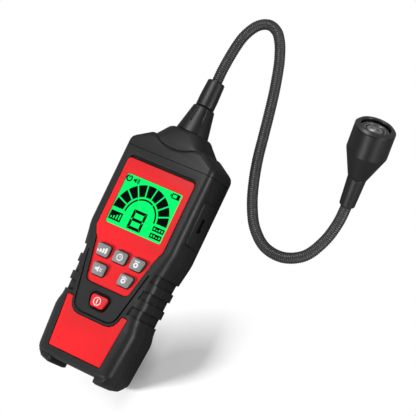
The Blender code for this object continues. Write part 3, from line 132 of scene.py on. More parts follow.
class Shader:
    """One material's nodes: a method adds a node, and expressions on sockets add the maths."""

    noise_roughness = 0.55
    edge_samples = 6
    edge_gain = 3.0
    open_share = (0.60, 0.98)
    top_share = (0.55, 0.95)

    def __init__(self, name: str) -> None:
        """Makes an empty Principled material of that name."""
        self.material = bpy.data.materials.new(name)
        self.material.use_nodes = True
        self.tree = self.material.node_tree
        self.surface = self.tree.nodes["Principled BSDF"]
        self.place = self.add("ShaderNodeTexCoord", output="Object")

    def feed(self, socket: bpy.types.NodeSocket, value: Any) -> None:
        """Links a shader value to a socket, or sets a plain one on it.

        Args:
            socket: The input socket.
            value: A shader value, a number or a colour.
        """
        if isinstance(value, Sock):
            self.tree.links.new(value.link, socket)
        elif isinstance(value, tuple) and socket.type == "RGBA":
            socket.default_value = (*value, 1.0)
        else:
            socket.default_value = value

    def add(self, kind: str, settings: dict | None = None, inputs: dict | None = None,
            output: int | str = 0) -> Sock:
        """Adds a node.

        Args:
            kind: The node's type.
            settings: Its settings, set before its sockets are.
            inputs: Values or links by socket name or number.
            output: The output socket wanted.

        Returns:
            That output.
        """
        node = self.tree.nodes.new(kind)
        for key, value in (settings or {}).items():
            setattr(node, key, value)
        for key, value in (inputs or {}).items():
            self.feed(node.inputs[key], value)
        return Sock(self.tree, node.outputs[output])

    def noise(self, size: float, detail: float = 2.0, place: Sock | None = None) -> Sock:
        """Smooth noise from 0 to 1 whose patches are about size metres across."""
        return self.add("ShaderNodeTexNoise", inputs={
            "Vector": place or self.place, "Scale": 1.0 / size, "Detail": detail,
            "Roughness": self.noise_roughness,
        })

    def mix(self, factor: Any, first: Any, second: Any) -> Sock:
        """The first colour where the factor is 0 and the second where it is 1."""
        return self.add("ShaderNodeMix", {"data_type": "RGBA"}, {0: factor, 6: first, 7: second}, 2)

    def vector(self, operation: str, first: Any, second: Any, output: int = 0) -> Sock:
        """The result of one Vector Math node."""
        return self.add("ShaderNodeVectorMath", {"operation": operation}, {0: first, 1: second}, output)

    def round_edge(self, radius: float) -> Sock:
        """The normal of the surface with its edges rounded to that radius."""
        return self.add("ShaderNodeBevel", {"samples": self.edge_samples}, {"Radius": radius})

    def edge_mask(self, rounded: Sock) -> Sock:
        """About 1 on edges and 0 on flat faces: 1 less the dot product of the two normals, times a gain."""
        plain = self.add("ShaderNodeNewGeometry", output="Normal")
        return ((1.0 - self.vector("DOT_PRODUCT", rounded, plain, 1)) * self.edge_gain).ramp(0.0, 1.0)

    def crease_shade(self, reach: float) -> Sock:
        """1 far down in grooves and gaps, 0 on open faces, from how much of the sky within reach is covered:
        the mask of painted shade.
        """
        sky = self.add("ShaderNodeAmbientOcclusion", {"samples": self.edge_samples},
                       {"Distance": reach}, "AO")
        return 1.0 - sky.ramp(*self.open_share)

    def upward(self) -> Sock:
        """1 where the surface faces up and 0 where it faces sideways, by the normal's Z."""
        normal = self.add("ShaderNodeTexCoord", output="Normal")
        return self.add("ShaderNodeSeparateXYZ", inputs={0: normal}, output="Z").ramp(*self.top_share)

    def bump(self, height: Sock, depth: float, normal: Sock | None = None) -> Sock:
        """The normal of the surface, or a given one, raised by height times depth."""
        inputs = {"Distance": depth, "Height": height} | ({"Normal": normal} if normal else {})
        return self.add("ShaderNodeBump", inputs=inputs)

    def set(self, **values: Any) -> None:
        """Sets the shader's sockets, an underscore standing for a space in a name."""
        for key, value in values.items():
            self.feed(self.surface.inputs[key.replace("_", " ")], value)


def shade(colour: Colour, factor: float) -> Colour:
    """The colour made lighter or darker by a factor."""
    return tuple(min(part * factor, 1.0) for part in colour)


# Finishes
class Finish:
    """A surface's look; each kind of finish paints the shader in its own way."""

    def paint(self, shader: Shader) -> None:
        """Adds the finish's nodes to the shader."""
        raise NotImplementedError


@dataclass(frozen=True)
class Moulded(Finish):
    """Moulded plastic or rubber with a spark-eroded grain, a cloudy sheen, edges a little lighter for wear
    with a painted highlight, and painted shade in grooves and gaps.

    Its speckle light, edge wear-and-highlight, groove shade and side shade tones are factors on the colour;
    both shades are painted.
    """

    colour: Colour
    roughness: float
    grain: float = 0.45 * MM
    depth: float = 0.022 * MM
    cloud: float = 0.10
    cloud_size: float = 14 * MM
    edge_wear_and_highlight: float = 0.35
    edge: float = 0.45 * MM
    coat: float = 0.0
    coat_roughness: float = 0.18
    gloss: float = 0.35
    crease_shade: float = 0.9
    reach: float = 2.3 * MM
    speckle: float = 0.25
    light: float = 1.35
    edge_wear_and_highlight_tone: float = 2.2
    crease_shade_tone: float = 0.08
    side: float = 1.0

    def paint(self, shader: Shader) -> None:
        """Paints cloudy, speckled plastic with edges lighter for wear and a painted highlight, painted shade
        in grooves and gaps and, where asked, painted shade on sides.
        """
        clouds = shader.noise(self.cloud_size, 3.0)
        spark = shader.noise(self.grain)
        rounded = shader.round_edge(self.edge)
        # Painted highlight along edges, mixed with wear: the colour is lighter where the edge mask is high.
        edge_wear_and_highlight = shader.edge_mask(rounded) * clouds.ramp(0.25, 0.75) * self.edge_wear_and_highlight
        base = shader.mix(clouds, shade(self.colour, 1 - self.cloud), shade(self.colour, 1 + self.cloud))
        base = shader.mix(spark.ramp(0.35, 0.75) * self.speckle, base, shade(self.colour, self.light))
        base = shader.mix(edge_wear_and_highlight, base, shade(self.colour, self.edge_wear_and_highlight_tone))
        # Painted shade: faces that turn sideways are darker than faces that look up.
        if self.side < 1.0:
            base = shader.mix(1.0 - shader.upward(), base, shade(self.colour, self.side))
        # Painted shade: the colour darkens in grooves and gaps, where little of the sky is open.
        crease_shade = shader.crease_shade(self.reach) * self.crease_shade
        shader.set(
            Base_Color=shader.mix(crease_shade, base, shade(self.colour, self.crease_shade_tone)),
            Roughness=self.roughness + clouds.swing(0.12) + spark.swing(0.14) - edge_wear_and_highlight * 0.2,
            Normal=shader.bump(spark, self.depth, rounded),
            Coat_Weight=self.coat,
            Coat_Roughness=self.coat_roughness,
            Specular_IOR_Level=self.gloss,
        )


@dataclass(frozen=True)
class Printed(Finish):
    """A flat printed mark: an even colour, a little blotchy, with a dull sheen."""

    colour: Colour
    roughness: float
    gloss: float
    blotch: float = 0.7 * MM

    def paint(self, shader: Shader) -> None:
        """Paints the blotchy ink."""
        blotch = shader.noise(self.blotch)
        shader.set(
            Base_Color=shader.mix(blotch, shade(self.colour, 0.92), self.colour),
            Roughness=self.roughness + blotch.swing(0.1),
            Specular_IOR_Level=self.gloss,
        )


@dataclass(frozen=True)
class Metal(Finish):
    """Bright metal with fine brushing along Y and a slight tarnish."""

    colour: Colour
    roughness: float
    hair: float = 0.2 * MM
    stretch: float = 0.12
    tarnish: float = 4 * MM
    edge: float = 0.15 * MM

    def paint(self, shader: Shader) -> None:
        """Paints the metal; the brushing is noise on a place squeezed along Y."""
        squeezed = {"Vector": shader.place, "Scale": (1.0, self.stretch, 1.0)}
        hair = shader.noise(self.hair, 3.0, shader.add("ShaderNodeMapping", inputs=squeezed))
        tarnish = shader.noise(self.tarnish, 3.0)
        shader.set(
            Base_Color=shader.mix(tarnish * 0.4, self.colour, shade(self.colour, 0.7)),
            Roughness=self.roughness + hair.swing(0.2),
            Normal=shader.bump(hair, 0.01 * MM, shader.round_edge(self.edge)),
            Metallic=1.0,
        )


@dataclass(frozen=True)
class WoundCoat(Finish):
    """Black coating over wound wire, lighter satin on the crests, where the attribute crest is 1: wear with a
    painted highlight, and painted shade in the roots between them.
    """

    colour: Colour
    crest_wear_and_highlight: Colour
    patch: float = 9 * MM
    fine: float = 0.3 * MM

    def paint(self, shader: Shader) -> None:
        """Paints the coat, lighter and smoother on the crests for wear and a painted highlight, and darker in
        the roots for painted shade.
        """
        crest = shader.add("ShaderNodeAttribute", {"attribute_name": "crest"}, output="Fac")
        fine = shader.noise(self.fine)
        # Wear and painted highlight on the crests, painted shade in the roots.
        wear = crest.ramp(0.45, 0.95) * (0.6 + shader.noise(self.patch, 3.0) * 0.4)
        shader.set(
            Base_Color=shader.mix(wear, self.colour, self.crest_wear_and_highlight),
            Roughness=0.66 - wear * 0.38 + fine.swing(0.06),
            Normal=shader.bump(fine, 0.008 * MM),
            Specular_IOR_Level=1.0,
            IOR=1.7,
        )


@dataclass(frozen=True)
class Backlight(Finish):
    """A backlit panel: a glow that varies a little, over a fine cell pattern."""

    colour: Colour
    strength: float
    patch: float = 22 * MM
    cell: float = 0.5 * MM

    def paint(self, shader: Shader) -> None:
        """Paints the lit panel."""
        glow = shader.noise(self.patch)
        cells = shader.noise(self.cell, 1.0)
        shader.set(
            Base_Color=shader.mix(cells * 0.3, shade(self.colour, 0.10), shade(self.colour, 0.06)),
            Specular_IOR_Level=0.4,
            Roughness=0.10 + cells.swing(0.06),
            Emission_Color=shader.mix(glow, shade(self.colour, 0.94), self.colour),
            Emission_Strength=self.strength,
            Normal=shader.bump(cells, 0.004 * MM),
        )


@dataclass(frozen=True)
class Board(Finish):
    """Circuit board: green mask with lighter tracks that run around cells."""

    colour: Colour
    cell: float = 4 * MM

    def paint(self, shader: Shader) -> None:
        """Paints the board; a track shows where the edge of a cell is near."""
        edge = shader.add("ShaderNodeTexVoronoi", {"feature": "DISTANCE_TO_EDGE", "distance": "EUCLIDEAN"},
                          {"Vector": shader.place, "Scale": 1 / self.cell, "Randomness": 0.4})
        track = 1.0 - edge.ramp(0.03, 0.07)
        shader.set(
            Base_Color=shader.mix(track * 0.8, self.colour, shade(self.colour, 2.4)),
            Roughness=0.32 + track * 0.1,
            Normal=shader.bump(track, 0.03 * MM),
        )


@dataclass(frozen=True)
class StudioFloor(Finish):
    """Pale floor, lit in an oval around the casing's foot, where the shadow falls, and white outside it."""

    colour: Colour
    bounce: Colour
    foot: Point = (0.066, -0.056, 0.0)
    turn: float = 0.50
    reach: float = 0.085
    width: float = 0.045
    full: float = 0.35
    cloth: float = 0.8 * MM

    def paint(self, shader: Shader) -> None:
        """Mixes the lit floor with plain white by the distance from the foot, in the oval's radii."""
        cloth = shader.noise(self.cloth)
        camera = shader.add("ShaderNodeLightPath", output="Is Camera Ray")
        seen = shader.mix(camera, self.bounce, self.colour)
        shader.set(Base_Color=seen, Roughness=0.85, Specular_IOR_Level=0.1)
        oval = shader.add("ShaderNodeMapping", {"vector_type": "TEXTURE"}, {
            "Vector": shader.place, "Location": self.foot, "Rotation": (0, 0, self.turn),
            "Scale": (self.reach, self.width, 1.0),
        })
        share = shader.vector("LENGTH", oval, (0, 0, 0), 1).ramp(self.full, 1.0)
        blend = shader.add("ShaderNodeMixShader", inputs={
            0: camera * share + cloth.swing(0.004),
            1: Sock(shader.tree, shader.surface.outputs[0]),
            2: shader.add("ShaderNodeEmission", inputs={"Color": (1.0, 1.0, 1.0), "Strength": 1.0}),
        })
        shader.feed(shader.tree.nodes["Material Output"].inputs["Surface"], blend)


# Surfaces
def unit(vectors: Array) -> Array:
    """Each vector divided by its length."""
    return vectors / np.linalg.norm(vectors, axis=-1, keepdims=True)


def grid_faces(rows: int, cols: int, wrap: bool = False, loop: bool = False) -> Array:
    """Quads of a grid of points numbered row by row.

    Args:
        rows: Points along the first parameter.
        cols: Points along the second parameter.
        wrap: Whether the last column joins the first.
        loop: Whether the last row joins the first.

    Returns:
        The corner numbers, one row of four for each quad.
    """
    first = np.arange(cols if wrap else cols - 1)
    second = (first + 1) % cols
    low = np.arange(rows if loop else rows - 1)[:, None]
    high = (low + 1) % rows * cols
    low = low * cols
    return np.stack([low + first, low + second, high + second, high + first], axis=-1).reshape(-1, 4)


def joined(patches: list[Patch]) -> Patch:
    """Several patches as one list of points and one of faces."""
    starts = np.cumsum([0] + [len(points) for points, _ in patches[:-1]])
    faces = np.concatenate([part + start for (_, part), start in zip(patches, starts)])
    return np.concatenate([part for part, _ in patches]), faces


@dataclass(frozen=True)
class Axis:
    """A line in space with two directions across it, on which turned forms are built."""

    start: Point
    aim: Point

    def frame(self) -> tuple[Array, Array, Array]:
        """The aim and two directions square to it and to each other."""
        along = unit(np.array(self.aim, float))
        side = unit(np.cross(along, (0.0, 0.0, 1.0)))
        return along, side, np.cross(side, along)

    def turned(self, profile: Array, around: int, loop: bool = True, relief: Relief | None = None) -> Patch:
        """A surface of revolution: start + reach aim + radius (cos a side + sin a up).

        Args:
            profile: Radius and reach at each station; an outer wall runs along the aim.
            around: Points around the axis.
            loop: Whether the profile closes on itself.
            relief: Changes radius and reach, given them and the angle a, where the form isn't round.

        Returns:
            The patch.
        """
        along, side, up = self.frame()
        angle = np.linspace(0, TURN, around, endpoint=False)[None, :]
        radius = np.repeat(profile[:, :1], around, axis=1)
        reach = np.repeat(profile[:, 1:], around, axis=1)
        if relief:
            radius, reach = relief(radius, reach, angle)
        ring = np.cos(angle)[..., None] * side + np.sin(angle)[..., None] * up
        points = np.array(self.start) + reach[..., None] * along + radius[..., None] * ring
        return points.reshape(-1, 3), grid_faces(len(profile), around, True, loop)[:, ::-1]


def eased(profile: list[Spot], radius: float, steps: int = 4) -> Array:
    """Rounds a profile's inner corners with a quadratic curve from radius before to radius after each.

    Args:
        profile: The corners, as radius and reach.
        radius: How far from each corner the rounding starts; a short side nearly halves it.
        steps: Points along each rounding.

    Returns:
        The rounded profile.
    """
    knots = np.array(profile, float)
    result = [knots[:1]]
    share = np.linspace(0, 1, steps)[:, None]
    for before, corner, after in zip(knots, knots[1:], knots[2:]):
        back, ahead = before - corner, after - corner
        near = min(radius, SIDE_SHARE * float(np.linalg.norm(back)))
        far = min(radius, SIDE_SHARE * float(np.linalg.norm(ahead)))
        first, last = corner + unit(back) * near, corner + unit(ahead) * far
        result.append((1 - share) ** 2 * first + 2 * share * (1 - share) * corner + share ** 2 * last)
    return np.concatenate([*result, knots[-1:]])


def dense(profile: Array, step: float) -> Array:
    """Adds points to a profile, read off the straight lines between its own.

    Args:
        profile: Radius and reach at each station.
        step: The most that neighbours may lie apart.

    Returns:
        The denser profile.
    """
    runs = np.linalg.norm(np.diff(profile, axis=0), axis=1)
    reach = np.concatenate([[0.0], np.cumsum(runs)])
    goal = np.unique(np.concatenate([reach, np.arange(0.0, reach[-1], step)]))
    goal = goal[np.concatenate([[True], np.diff(goal) > SAME_REACH])]
    return np.stack([np.interp(goal, reach, profile[:, column]) for column in (0, 1)], axis=-1)


HEAD_AXIS = Axis((133.3 * MM, 84.6 * MM, 30.7 * MM), (0.174, 0.835, 0.523))


@dataclass(frozen=True)
class TurnedMetal(Finish):
    """Metal turned on a lathe: fine rings around an axis, waves of the distance from it, with painted shade
    in its grooves and gaps.
    """

    colour: Colour
    axis: Axis
    pitch: float = 0.45 * MM
    stain: float = 3 * MM
    edge: float = 0.2 * MM
    crease_shade: float = 1.6 * MM

    def paint(self, shader: Shader) -> None:
        """Paints the rings, stains and painted shade in grooves; the distance from the axis is the length of
        (place - start) x aim.
        """
        aim = tuple(float(part) for part in self.axis.frame()[0])
        arm = shader.vector("SUBTRACT", shader.place, self.axis.start)
        reach = shader.vector("LENGTH", shader.vector("CROSS_PRODUCT", arm, aim), (0, 0, 0), 1)
        rings = (reach * (TURN / self.pitch)).wave() * 0.5 + 0.5
        stain = shader.noise(self.stain, 3.0)
        stained = shader.mix(stain.ramp(0.35, 0.8) * 0.5, self.colour, shade(self.colour, 0.62))
        shader.set(
            # Painted shade: the colour falls almost to black in grooves and gaps.
            Base_Color=shader.mix(shader.crease_shade(self.crease_shade) * 0.9, stained, shade(self.colour, 0.03)),
            Roughness=0.26 + rings * 0.1 + stain.swing(0.1),
            Normal=shader.bump(rings, 0.008 * MM, shader.round_edge(self.edge)),
            Metallic=0.7,
        )


class Look(Enum):
    """The looks that surfaces take: each one's material name and finish."""

    FRAME = "frame_grey", Moulded((0.025, 0.0255, 0.0255), 0.42, edge_wear_and_highlight=0.45, gloss=0.5)
    REAR = "rear_black", Moulded((0.020, 0.020, 0.0205), 0.44, edge_wear_and_highlight=0.45, gloss=0.5)
    RED = "fascia_red", Moulded((0.82, 0.022, 0.027), 0.45, depth=0.006 * MM, cloud=0.03, edge_wear_and_highlight=0.05,
                                gloss=0.25, crease_shade=0.6, reach=0.9 * MM)
    # KEY and POWER: side below 1 paints shade on the keys' sides.
    KEY = "key_grey", Moulded((0.250, 0.255, 0.255), 0.62, grain=0.3 * MM, depth=0.015 * MM, edge_wear_and_highlight=0.10,
                              reach=0.8 * MM, side=0.22)
    POWER = "power_red", Moulded((0.84, 0.026, 0.034), 0.42, depth=0.006 * MM, cloud=0.03, edge_wear_and_highlight=0.05,
                                 edge=0.7 * MM, reach=0.8 * MM, side=0.30)
    RUBBER = "neck_rubber", Moulded((0.010, 0.010, 0.0105), 0.44, depth=0.008 * MM, edge_wear_and_highlight=0.3, gloss=1.0,
                                    crease_shade=0.6)
    HEAD = "head_black", Moulded((0.010, 0.010, 0.0105), 0.42, depth=0.008 * MM, edge_wear_and_highlight=0.3, gloss=0.9)
    # A lighter copy of the head's dark plastic: painted light on the rim, which the lamps reach less.
    RIM = "rim_grey", Moulded((0.042, 0.042, 0.0425), 0.36, depth=0.008 * MM, edge_wear_and_highlight=0.3, gloss=1.0)
    COAT = "wound_coat", WoundCoat((0.001, 0.001, 0.001), (0.045, 0.045, 0.046))
    STEEL = "plain_steel", Metal((0.55, 0.55, 0.56), 0.32)
    DISC = "turned_disc", TurnedMetal((0.62, 0.62, 0.625), HEAD_AXIS)
    BRASS = "plain_brass", Metal((0.72, 0.54, 0.24), 0.34)
    GLOW = "display_glow", Backlight((0.002, 0.98, 0.170), 1.0)
    INK = "segment_ink", Printed((0.003, 0.004, 0.004), 0.8, 0.02)
    LEGEND = "legend_white", Printed((0.86, 0.86, 0.86), 0.55, 0.3)
    BOARD = "board_green", Board((0.02, 0.16, 0.06))
    BLACK = "component_black", Moulded((0.02, 0.02, 0.02), 0.45)
    WHITE = "carrier_white", Moulded((0.75, 0.74, 0.70), 0.5, edge_wear_and_highlight=0.0)
    WRAP = "pack_wrap", Moulded((0.05, 0.14, 0.40), 0.30, depth=0.01 * MM, coat=0.4)
    FLOOR = "studio_floor", StudioFloor((1.0, 1.0, 1.0), (0.18, 0.18, 0.18))


@cache
def material_of(look: Look) -> bpy.types.Material:
    """Makes a look's material the first time that it is asked for.

    Args:
        look: The look.

    Returns:
        Its material.
    """
    name, finish = look.value
    shader = Shader(name)
    finish.paint(shader)
    return shader.material


def shade_smooth(mesh: bpy.types.Mesh, smooth: bool = True) -> None:
    """Shades all of a mesh's faces smooth, or all of them flat."""
    mesh.polygons.foreach_set("use_smooth", np.full(len(mesh.polygons), smooth))


def weld(thing: bpy.types.Object) -> None:
    """Makes one of the points that lie in one place, as at poles."""
    thing.modifiers.new("weld", "WELD").merge_threshold = POLE_MERGE


def piece(name: str, patch: Patch, look: Look, poles: bool = False) -> bpy.types.Object:
    """Makes an object of a patch.

    Args:
        name: The piece's name.
        patch: Its points and faces.
        look: The finish that it takes.
        poles: Whether rows of points meet in poles that are to be closed.

    Returns:
        The object, smooth shaded, with its place in its mesh.
    """
    points, faces = patch
    mesh = bpy.data.meshes.new(name)
    mesh.from_pydata(points.tolist(), [], faces.tolist())
    shade_smooth(mesh)
    mesh.materials.append(material_of(look))
    made = bpy.data.objects.new(name, mesh)
    bpy.context.scene.collection.objects.link(made)
    if poles:
        weld(made)
    return made


def settle(thing: bpy.types.Object, body: str, slot: str, *nodes: str) -> None:
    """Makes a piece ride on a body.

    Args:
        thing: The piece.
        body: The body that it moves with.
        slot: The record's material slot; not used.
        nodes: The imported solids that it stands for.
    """
    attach(thing, body)
    if nodes:
        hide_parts(*nodes)


def wear(node: str, look: Look, angle: float = 32.0) -> None:
    """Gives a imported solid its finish, with its faces smooth and its edges crisp.

    Args:
        node: The solid's node.
        look: The finish that it takes.
        angle: Edges sharper than this many degrees stay crisp.
    """
    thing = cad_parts[node]
    for slot in thing.material_slots:
        slot.material = material_of(look)
    if "custom_normal" in thing.data.attributes:
        thing.data.attributes.remove(thing.data.attributes["custom_normal"])
    shade_smooth(thing.data)
    weld(thing)
    thing.modifiers.new("crisp", "EDGE_SPLIT").split_angle = math.radians(angle)


# Flat art
@dataclass
class Art:
    """Thin raised marks on a plane of constant height, in millimetres from a middle, made one piece."""

    height: float
    middle: Spot = (0.0, 0.0)
    thickness: float = 0.05 * MM
    tip: float = 0.02
    trim: float = 0.12
    rings: int = 4
    degrees: float = 3.0
    patches: list[Patch] = field(default_factory=list)

    def lay(self, across: Array, up: Array) -> "Art":
        """Adds a grid patch.

        Args:
            across: X of its points.
            up: Y of its points.

        Returns:
            The marks, for more to be added.
        """
        x, y = self.middle
        flat = np.stack([(x + across) * MM, (y + up) * MM, np.full_like(across, self.height)], axis=-1)
        self.patches.append((flat.reshape(-1, 3), grid_faces(*across.shape)[:, ::-1]))
        return self

    def sector(self, centre: Spot, inner: float, outer: float, start: float = 0, end: float = 360,
               gap: float = 0.0) -> "Art":
        """A ring or its sector: centre + r (cos a, sin a), its ends kept gap away from the rays at its ends.

        Args:
            centre: Middle of the ring.
            inner: Inner radius.
            outer: Outer radius.
            start: First angle in degrees.
            end: Last angle in degrees, more than the first.
            gap: Distance of each end from its ray.

        Returns:
            The marks.
        """
        radius = np.linspace(inner, outer, self.rings)[None, :]
        trim = np.arcsin(gap / radius)
        share = np.linspace(0, 1, max(3, int((end - start) / self.degrees)))[:, None]
        low, high = math.radians(start) + trim, math.radians(end) - trim
        angle = high + (low - high) * share
        return self.lay(centre[0] + radius * np.cos(angle), centre[1] + radius * np.sin(angle))

    def bar(self, start: Spot, end: Spot, width: float, point: float = 0.0) -> "Art":
        """A straight bar: start + t (end - start) across its width, its ends narrowing to tips over point.

        Args:
            start: One end.
            end: The other end.
            width: Full width.
            point: Length of the pointed part.

        Returns:
            The marks.
        """
        first, last = np.array(start, float), np.array(end, float)
        length = float(np.linalg.norm(last - first))
        along = (last - first) / length
        side = np.array([along[1], -along[0]])
        reach = np.array([0.0, point, length - point, length]) if point else np.array([0.0, length])
        half = np.array([self.tip, 0.5, 0.5, self.tip] if point else [0.5, 0.5]) * width
        across = np.linspace(1, -1, 2)[None, :, None] * half[:, None, None] * side
        spots = first + reach[:, None, None] * along + across
        return self.lay(spots[..., 0], spots[..., 1])

    def mitred(self, start: Spot, end: Spot, width: float, cuts: Spot) -> "Art":
        """A bar whose right edge runs from start to end, less the trim, and whose left edge is cut shorter.

        Args:
            start: One end of the long edge.
            end: The other end.
            width: Full width.
            cuts: How much shorter the left edge is at each end, in widths.

        Returns:
            The marks.
        """
        first, last = np.array(start, float), np.array(end, float)
        along = (last - first) / np.linalg.norm(last - first)
        first, last = first + self.trim * along, last - self.trim * along
        left = np.array([-along[1], along[0]])
        spots = np.array([[first, first + (left + along * cuts[0]) * width],
                          [last, last + (left - along * cuts[1]) * width]])
        return self.lay(spots[..., 0], spots[..., 1])

    def tile(self, low: Spot, high: Spot) -> "Art":
        """A rectangle between two corners."""
        middle = (low[1] + high[1]) / 2
        return self.bar((low[0], middle), (high[0], middle), high[1] - low[1])

    def box(self, low: Spot, high: Spot, width: float) -> "Art":
        """The four sides of a box, width wide, inside its corners."""
        self.tile(low, (high[0], low[1] + width)).tile((low[0], high[1] - width), high)
        self.tile((low[0], low[1] + width), (low[0] + width, high[1] - width))
        return self.tile((high[0] - width, low[1] + width), (high[0], high[1] - width))

    def make(self, name: str, look: Look, body: str, slot: str) -> None:
        """Makes the marks one thin solid piece.

        Args:
            name: The piece's name.
            look: The finish that it takes.
            body: The body that it rides on.
            slot: The record's material slot.
        """
        made = piece(name, joined(self.patches), look)
        shade_smooth(made.data, False)
        solid = made.modifiers.new("thickness", "SOLIDIFY")
        solid.thickness = self.thickness
        solid.offset = 1.0
        settle(made, body, slot)


# Sub-assemblies
@dataclass
class Solids:
    """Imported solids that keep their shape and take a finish."""

    finishes: dict[Look, tuple[str, ...]]

    def dress(self) -> None:
        """Gives each solid its finish."""
        for look, nodes in self.finishes.items():
            for node in nodes:
                wear(node, look)
        log.info("%s dressed", type(self).__name__.lower())


@dataclass
class Casing(Solids):
    """The two shells, the cap, the red parts, the battery cover and what fastens them."""

    finishes: dict[Look, tuple[str, ...]] = field(default_factory=lambda: {
        Look.FRAME: ("front_shell", "top_cap"),
        Look.REAR: ("rear_shell", "battery_cover"),
        Look.RED: ("display_fascia", "lower_panel"),
        Look.STEEL: ("battery_cover_screw", "case_screw_upper_left", "case_screw_upper_right",
                     "case_screw_lower_left", "case_screw_lower_right", "charge_socket"),
    })


@dataclass
class Insides(Solids):
    """The parts behind the shells, seen through gaps and in a cut-away."""

    finishes: dict[Look, tuple[str, ...]] = field(default_factory=lambda: {
        Look.BLACK: ("switch_upper_left", "switch_upper_middle", "switch_upper_right", "switch_lower_left",
                     "switch_lower_right", "power_switch", "processor_chip", "buzzer", "probe_lead"),
        Look.WHITE: ("panel_holder", "lead_plug"),
        Look.BRASS: ("battery_contact_left", "battery_contact_right", "neck_nut"),
        Look.WRAP: ("battery_pack",),
        Look.BOARD: ("main_board", "sensor_base"),
    })


@dataclass
class Display(Solids):
    """The lit panel, its window, which glows with it, and the dark marks on them; sizes in millimetres."""

    finishes: dict[Look, tuple[str, ...]] = field(default_factory=lambda: {
        Look.GLOW: ("display_panel", "display_window"),
    })
    lift: float = 0.01 * MM
    dial: Spot = (-0.3, 24.5)
    dial_inner: float = 14.0
    dial_outer: float = 22.3
    dial_bars: int = 9
    bar_gap: float = 0.5
    scale_inner: float = 11.5
    scale_outer: float = 12.7
    scale_runs: tuple[Spot, ...] = ((0, 61), (64, 119), (122, 180))
    figure: Spot = (-0.6, 21.7)
    figure_half_width: float = 5.6
    figure_half_height: float = 6.8
    stroke: float = 2.1
    clock: Spot = (-20.4, 46.4)
    horn: Spot = (-15.7, 46.3)
    horn_waves: tuple[float, ...] = (1.3, 2.4)
    battery: Spot = (18.5, 46.55)
    battery_half: Spot = (3.2, 1.85)
    battery_line: float = 0.8
    level_box: Spot = (-22.2, 16.0)
    level_size: Spot = (9.8, 6.4)
    level_strip: float = 1.1
    levels: tuple[float, ...] = (0.3, 0.5, 0.75, 1.0)
    word_boxes: tuple[Spot, ...] = ((12.7, 19.8), (12.7, 15.0))
    word_size: Spot = (9.4, 3.4)
    word_strip: float = 0.95
    words: tuple[tuple[float, ...], ...] = ((1.0, 0.55, 1.0, 1.0), (1.0, 1.0, 0.55, 1.0))

    def art(self, middle: Spot = (0.0, 0.0)) -> Art:
        """An empty sheet of marks just above the window."""
        return Art(float(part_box("display_window")[1][2]) + self.lift, middle)

    def finish_art(self, art: Art, name: str) -> None:
        """Makes a sheet of marks an inked piece."""
        art.make(f"display_{name}", Look.INK, CASING, "component_black")

    def draw_dial(self) -> None:
        """Draws the dial's bars and the thin scale inside them, in equal angles around the dial's middle."""
        art = self.art(self.dial)
        step = 180.0 / self.dial_bars
        for number in range(self.dial_bars):
            low, high = number * step, (number + 1) * step
            art.sector((0, 0), self.dial_inner, self.dial_outer, low, high, self.bar_gap)
        for low, high in self.scale_runs:
            art.sector((0, 0), self.scale_inner, self.scale_outer, low, high)
        self.finish_art(art, "dial")

    def draw_figure(self) -> None:
        """Draws seven segments: six mitred bars around the edge and a pointed one across the middle."""
        art = self.art(self.figure)
        wide, tall = self.figure_half_width, self.figure_half_height
        around = ((wide, tall), (-wide, tall), (-wide, 0), (-wide, -tall), (wide, -tall), (wide, 0),
                  (wide, tall))
        cuts = ((1.0, 1.0), (1.0, 0.5), (0.5, 1.0))
        for start, end, cut in zip(around, around[1:], cuts * 2):
            art.mitred(start, end, self.stroke, cut)
        half = self.stroke / 2
        art.bar((half - wide, 0), (wide - half, 0), self.stroke, half)
        self.finish_art(art, "figure")

    def draw_icons(self) -> None:
        """Draws the clock, loudspeaker and battery marks above the dial."""
        art = self.art(self.clock)
        art.sector((0, 0), 1.5, 2.5, 110, 430).bar((0, 0), (0, 1.6), 0.8)
        art.middle = self.horn
        art.tile((-0.9, -0.8), (-0.1, 0.8)).mitred((1.4, -1.8), (1.4, 1.8), 1.5, (0.7, 0.7))
        for reach in self.horn_waves:
            art.sector((0.9, 0), reach, reach + 0.65, -45, 45)
        art.middle = self.battery
        wide, tall = self.battery_half
        line = self.battery_line
        art.box((-wide, -tall), (wide, tall), line).tile((-wide - 1.1, 0.9 - tall), (-wide - 0.3, tall - 0.9))
        art.tile((wide - 3 * line, line - tall), (wide - line, tall - line))
        self.finish_art(art, "icons")

    def windows(self, art: Art, spot: Spot, size: Spot, strip: float, heights: tuple[float, ...]) -> None:
        """A dark box with one light bar for each height, standing in equal columns between dark strips.

        Args:
            art: The marks that it joins.
            spot: The box's lower left corner.
            size: Its width and height.
            strip: Width of the dark strips.
            heights: Each light bar's height as a share of the space inside.
        """
        art.middle = spot
        art.box((0, 0), size, strip)
        column = (size[0] - strip) / len(heights)
        top = size[1] - strip
        for number, share in enumerate(heights):
            start = strip + number * column
            if number:
                art.tile((start - strip, strip), (start, top))
            if share < 1:
                art.tile((start, strip + share * (top - strip)), (start + column - strip, top))

    def build(self) -> None:
        """Builds the display, with one dark box below the dial on the left and two on the right."""
        self.dress()
        self.draw_dial()
        self.draw_figure()
        self.draw_icons()
        art = self.art()
        self.windows(art, self.level_box, self.level_size, self.level_strip, self.levels)
        for spot, heights in zip(self.word_boxes, self.words):
            self.windows(art, spot, self.word_size, self.word_strip, heights)
        self.finish_art(art, "boxes")
        log.info("display built")


class Symbol(Enum):
    """The plain signs on the keys."""

    LEVELS = "levels"
    CLOCK = "clock"
    BELL = "bell"
    HORN = "horn"
    TARGET = "target"
    SWITCH = "switch"


@dataclass(frozen=True)
class Key:
    """A key: its node, body, look and sign, and the sign's middle in millimetres."""

    node: str
    body: str
    look: Look
    symbol: Symbol
    spot: Spot


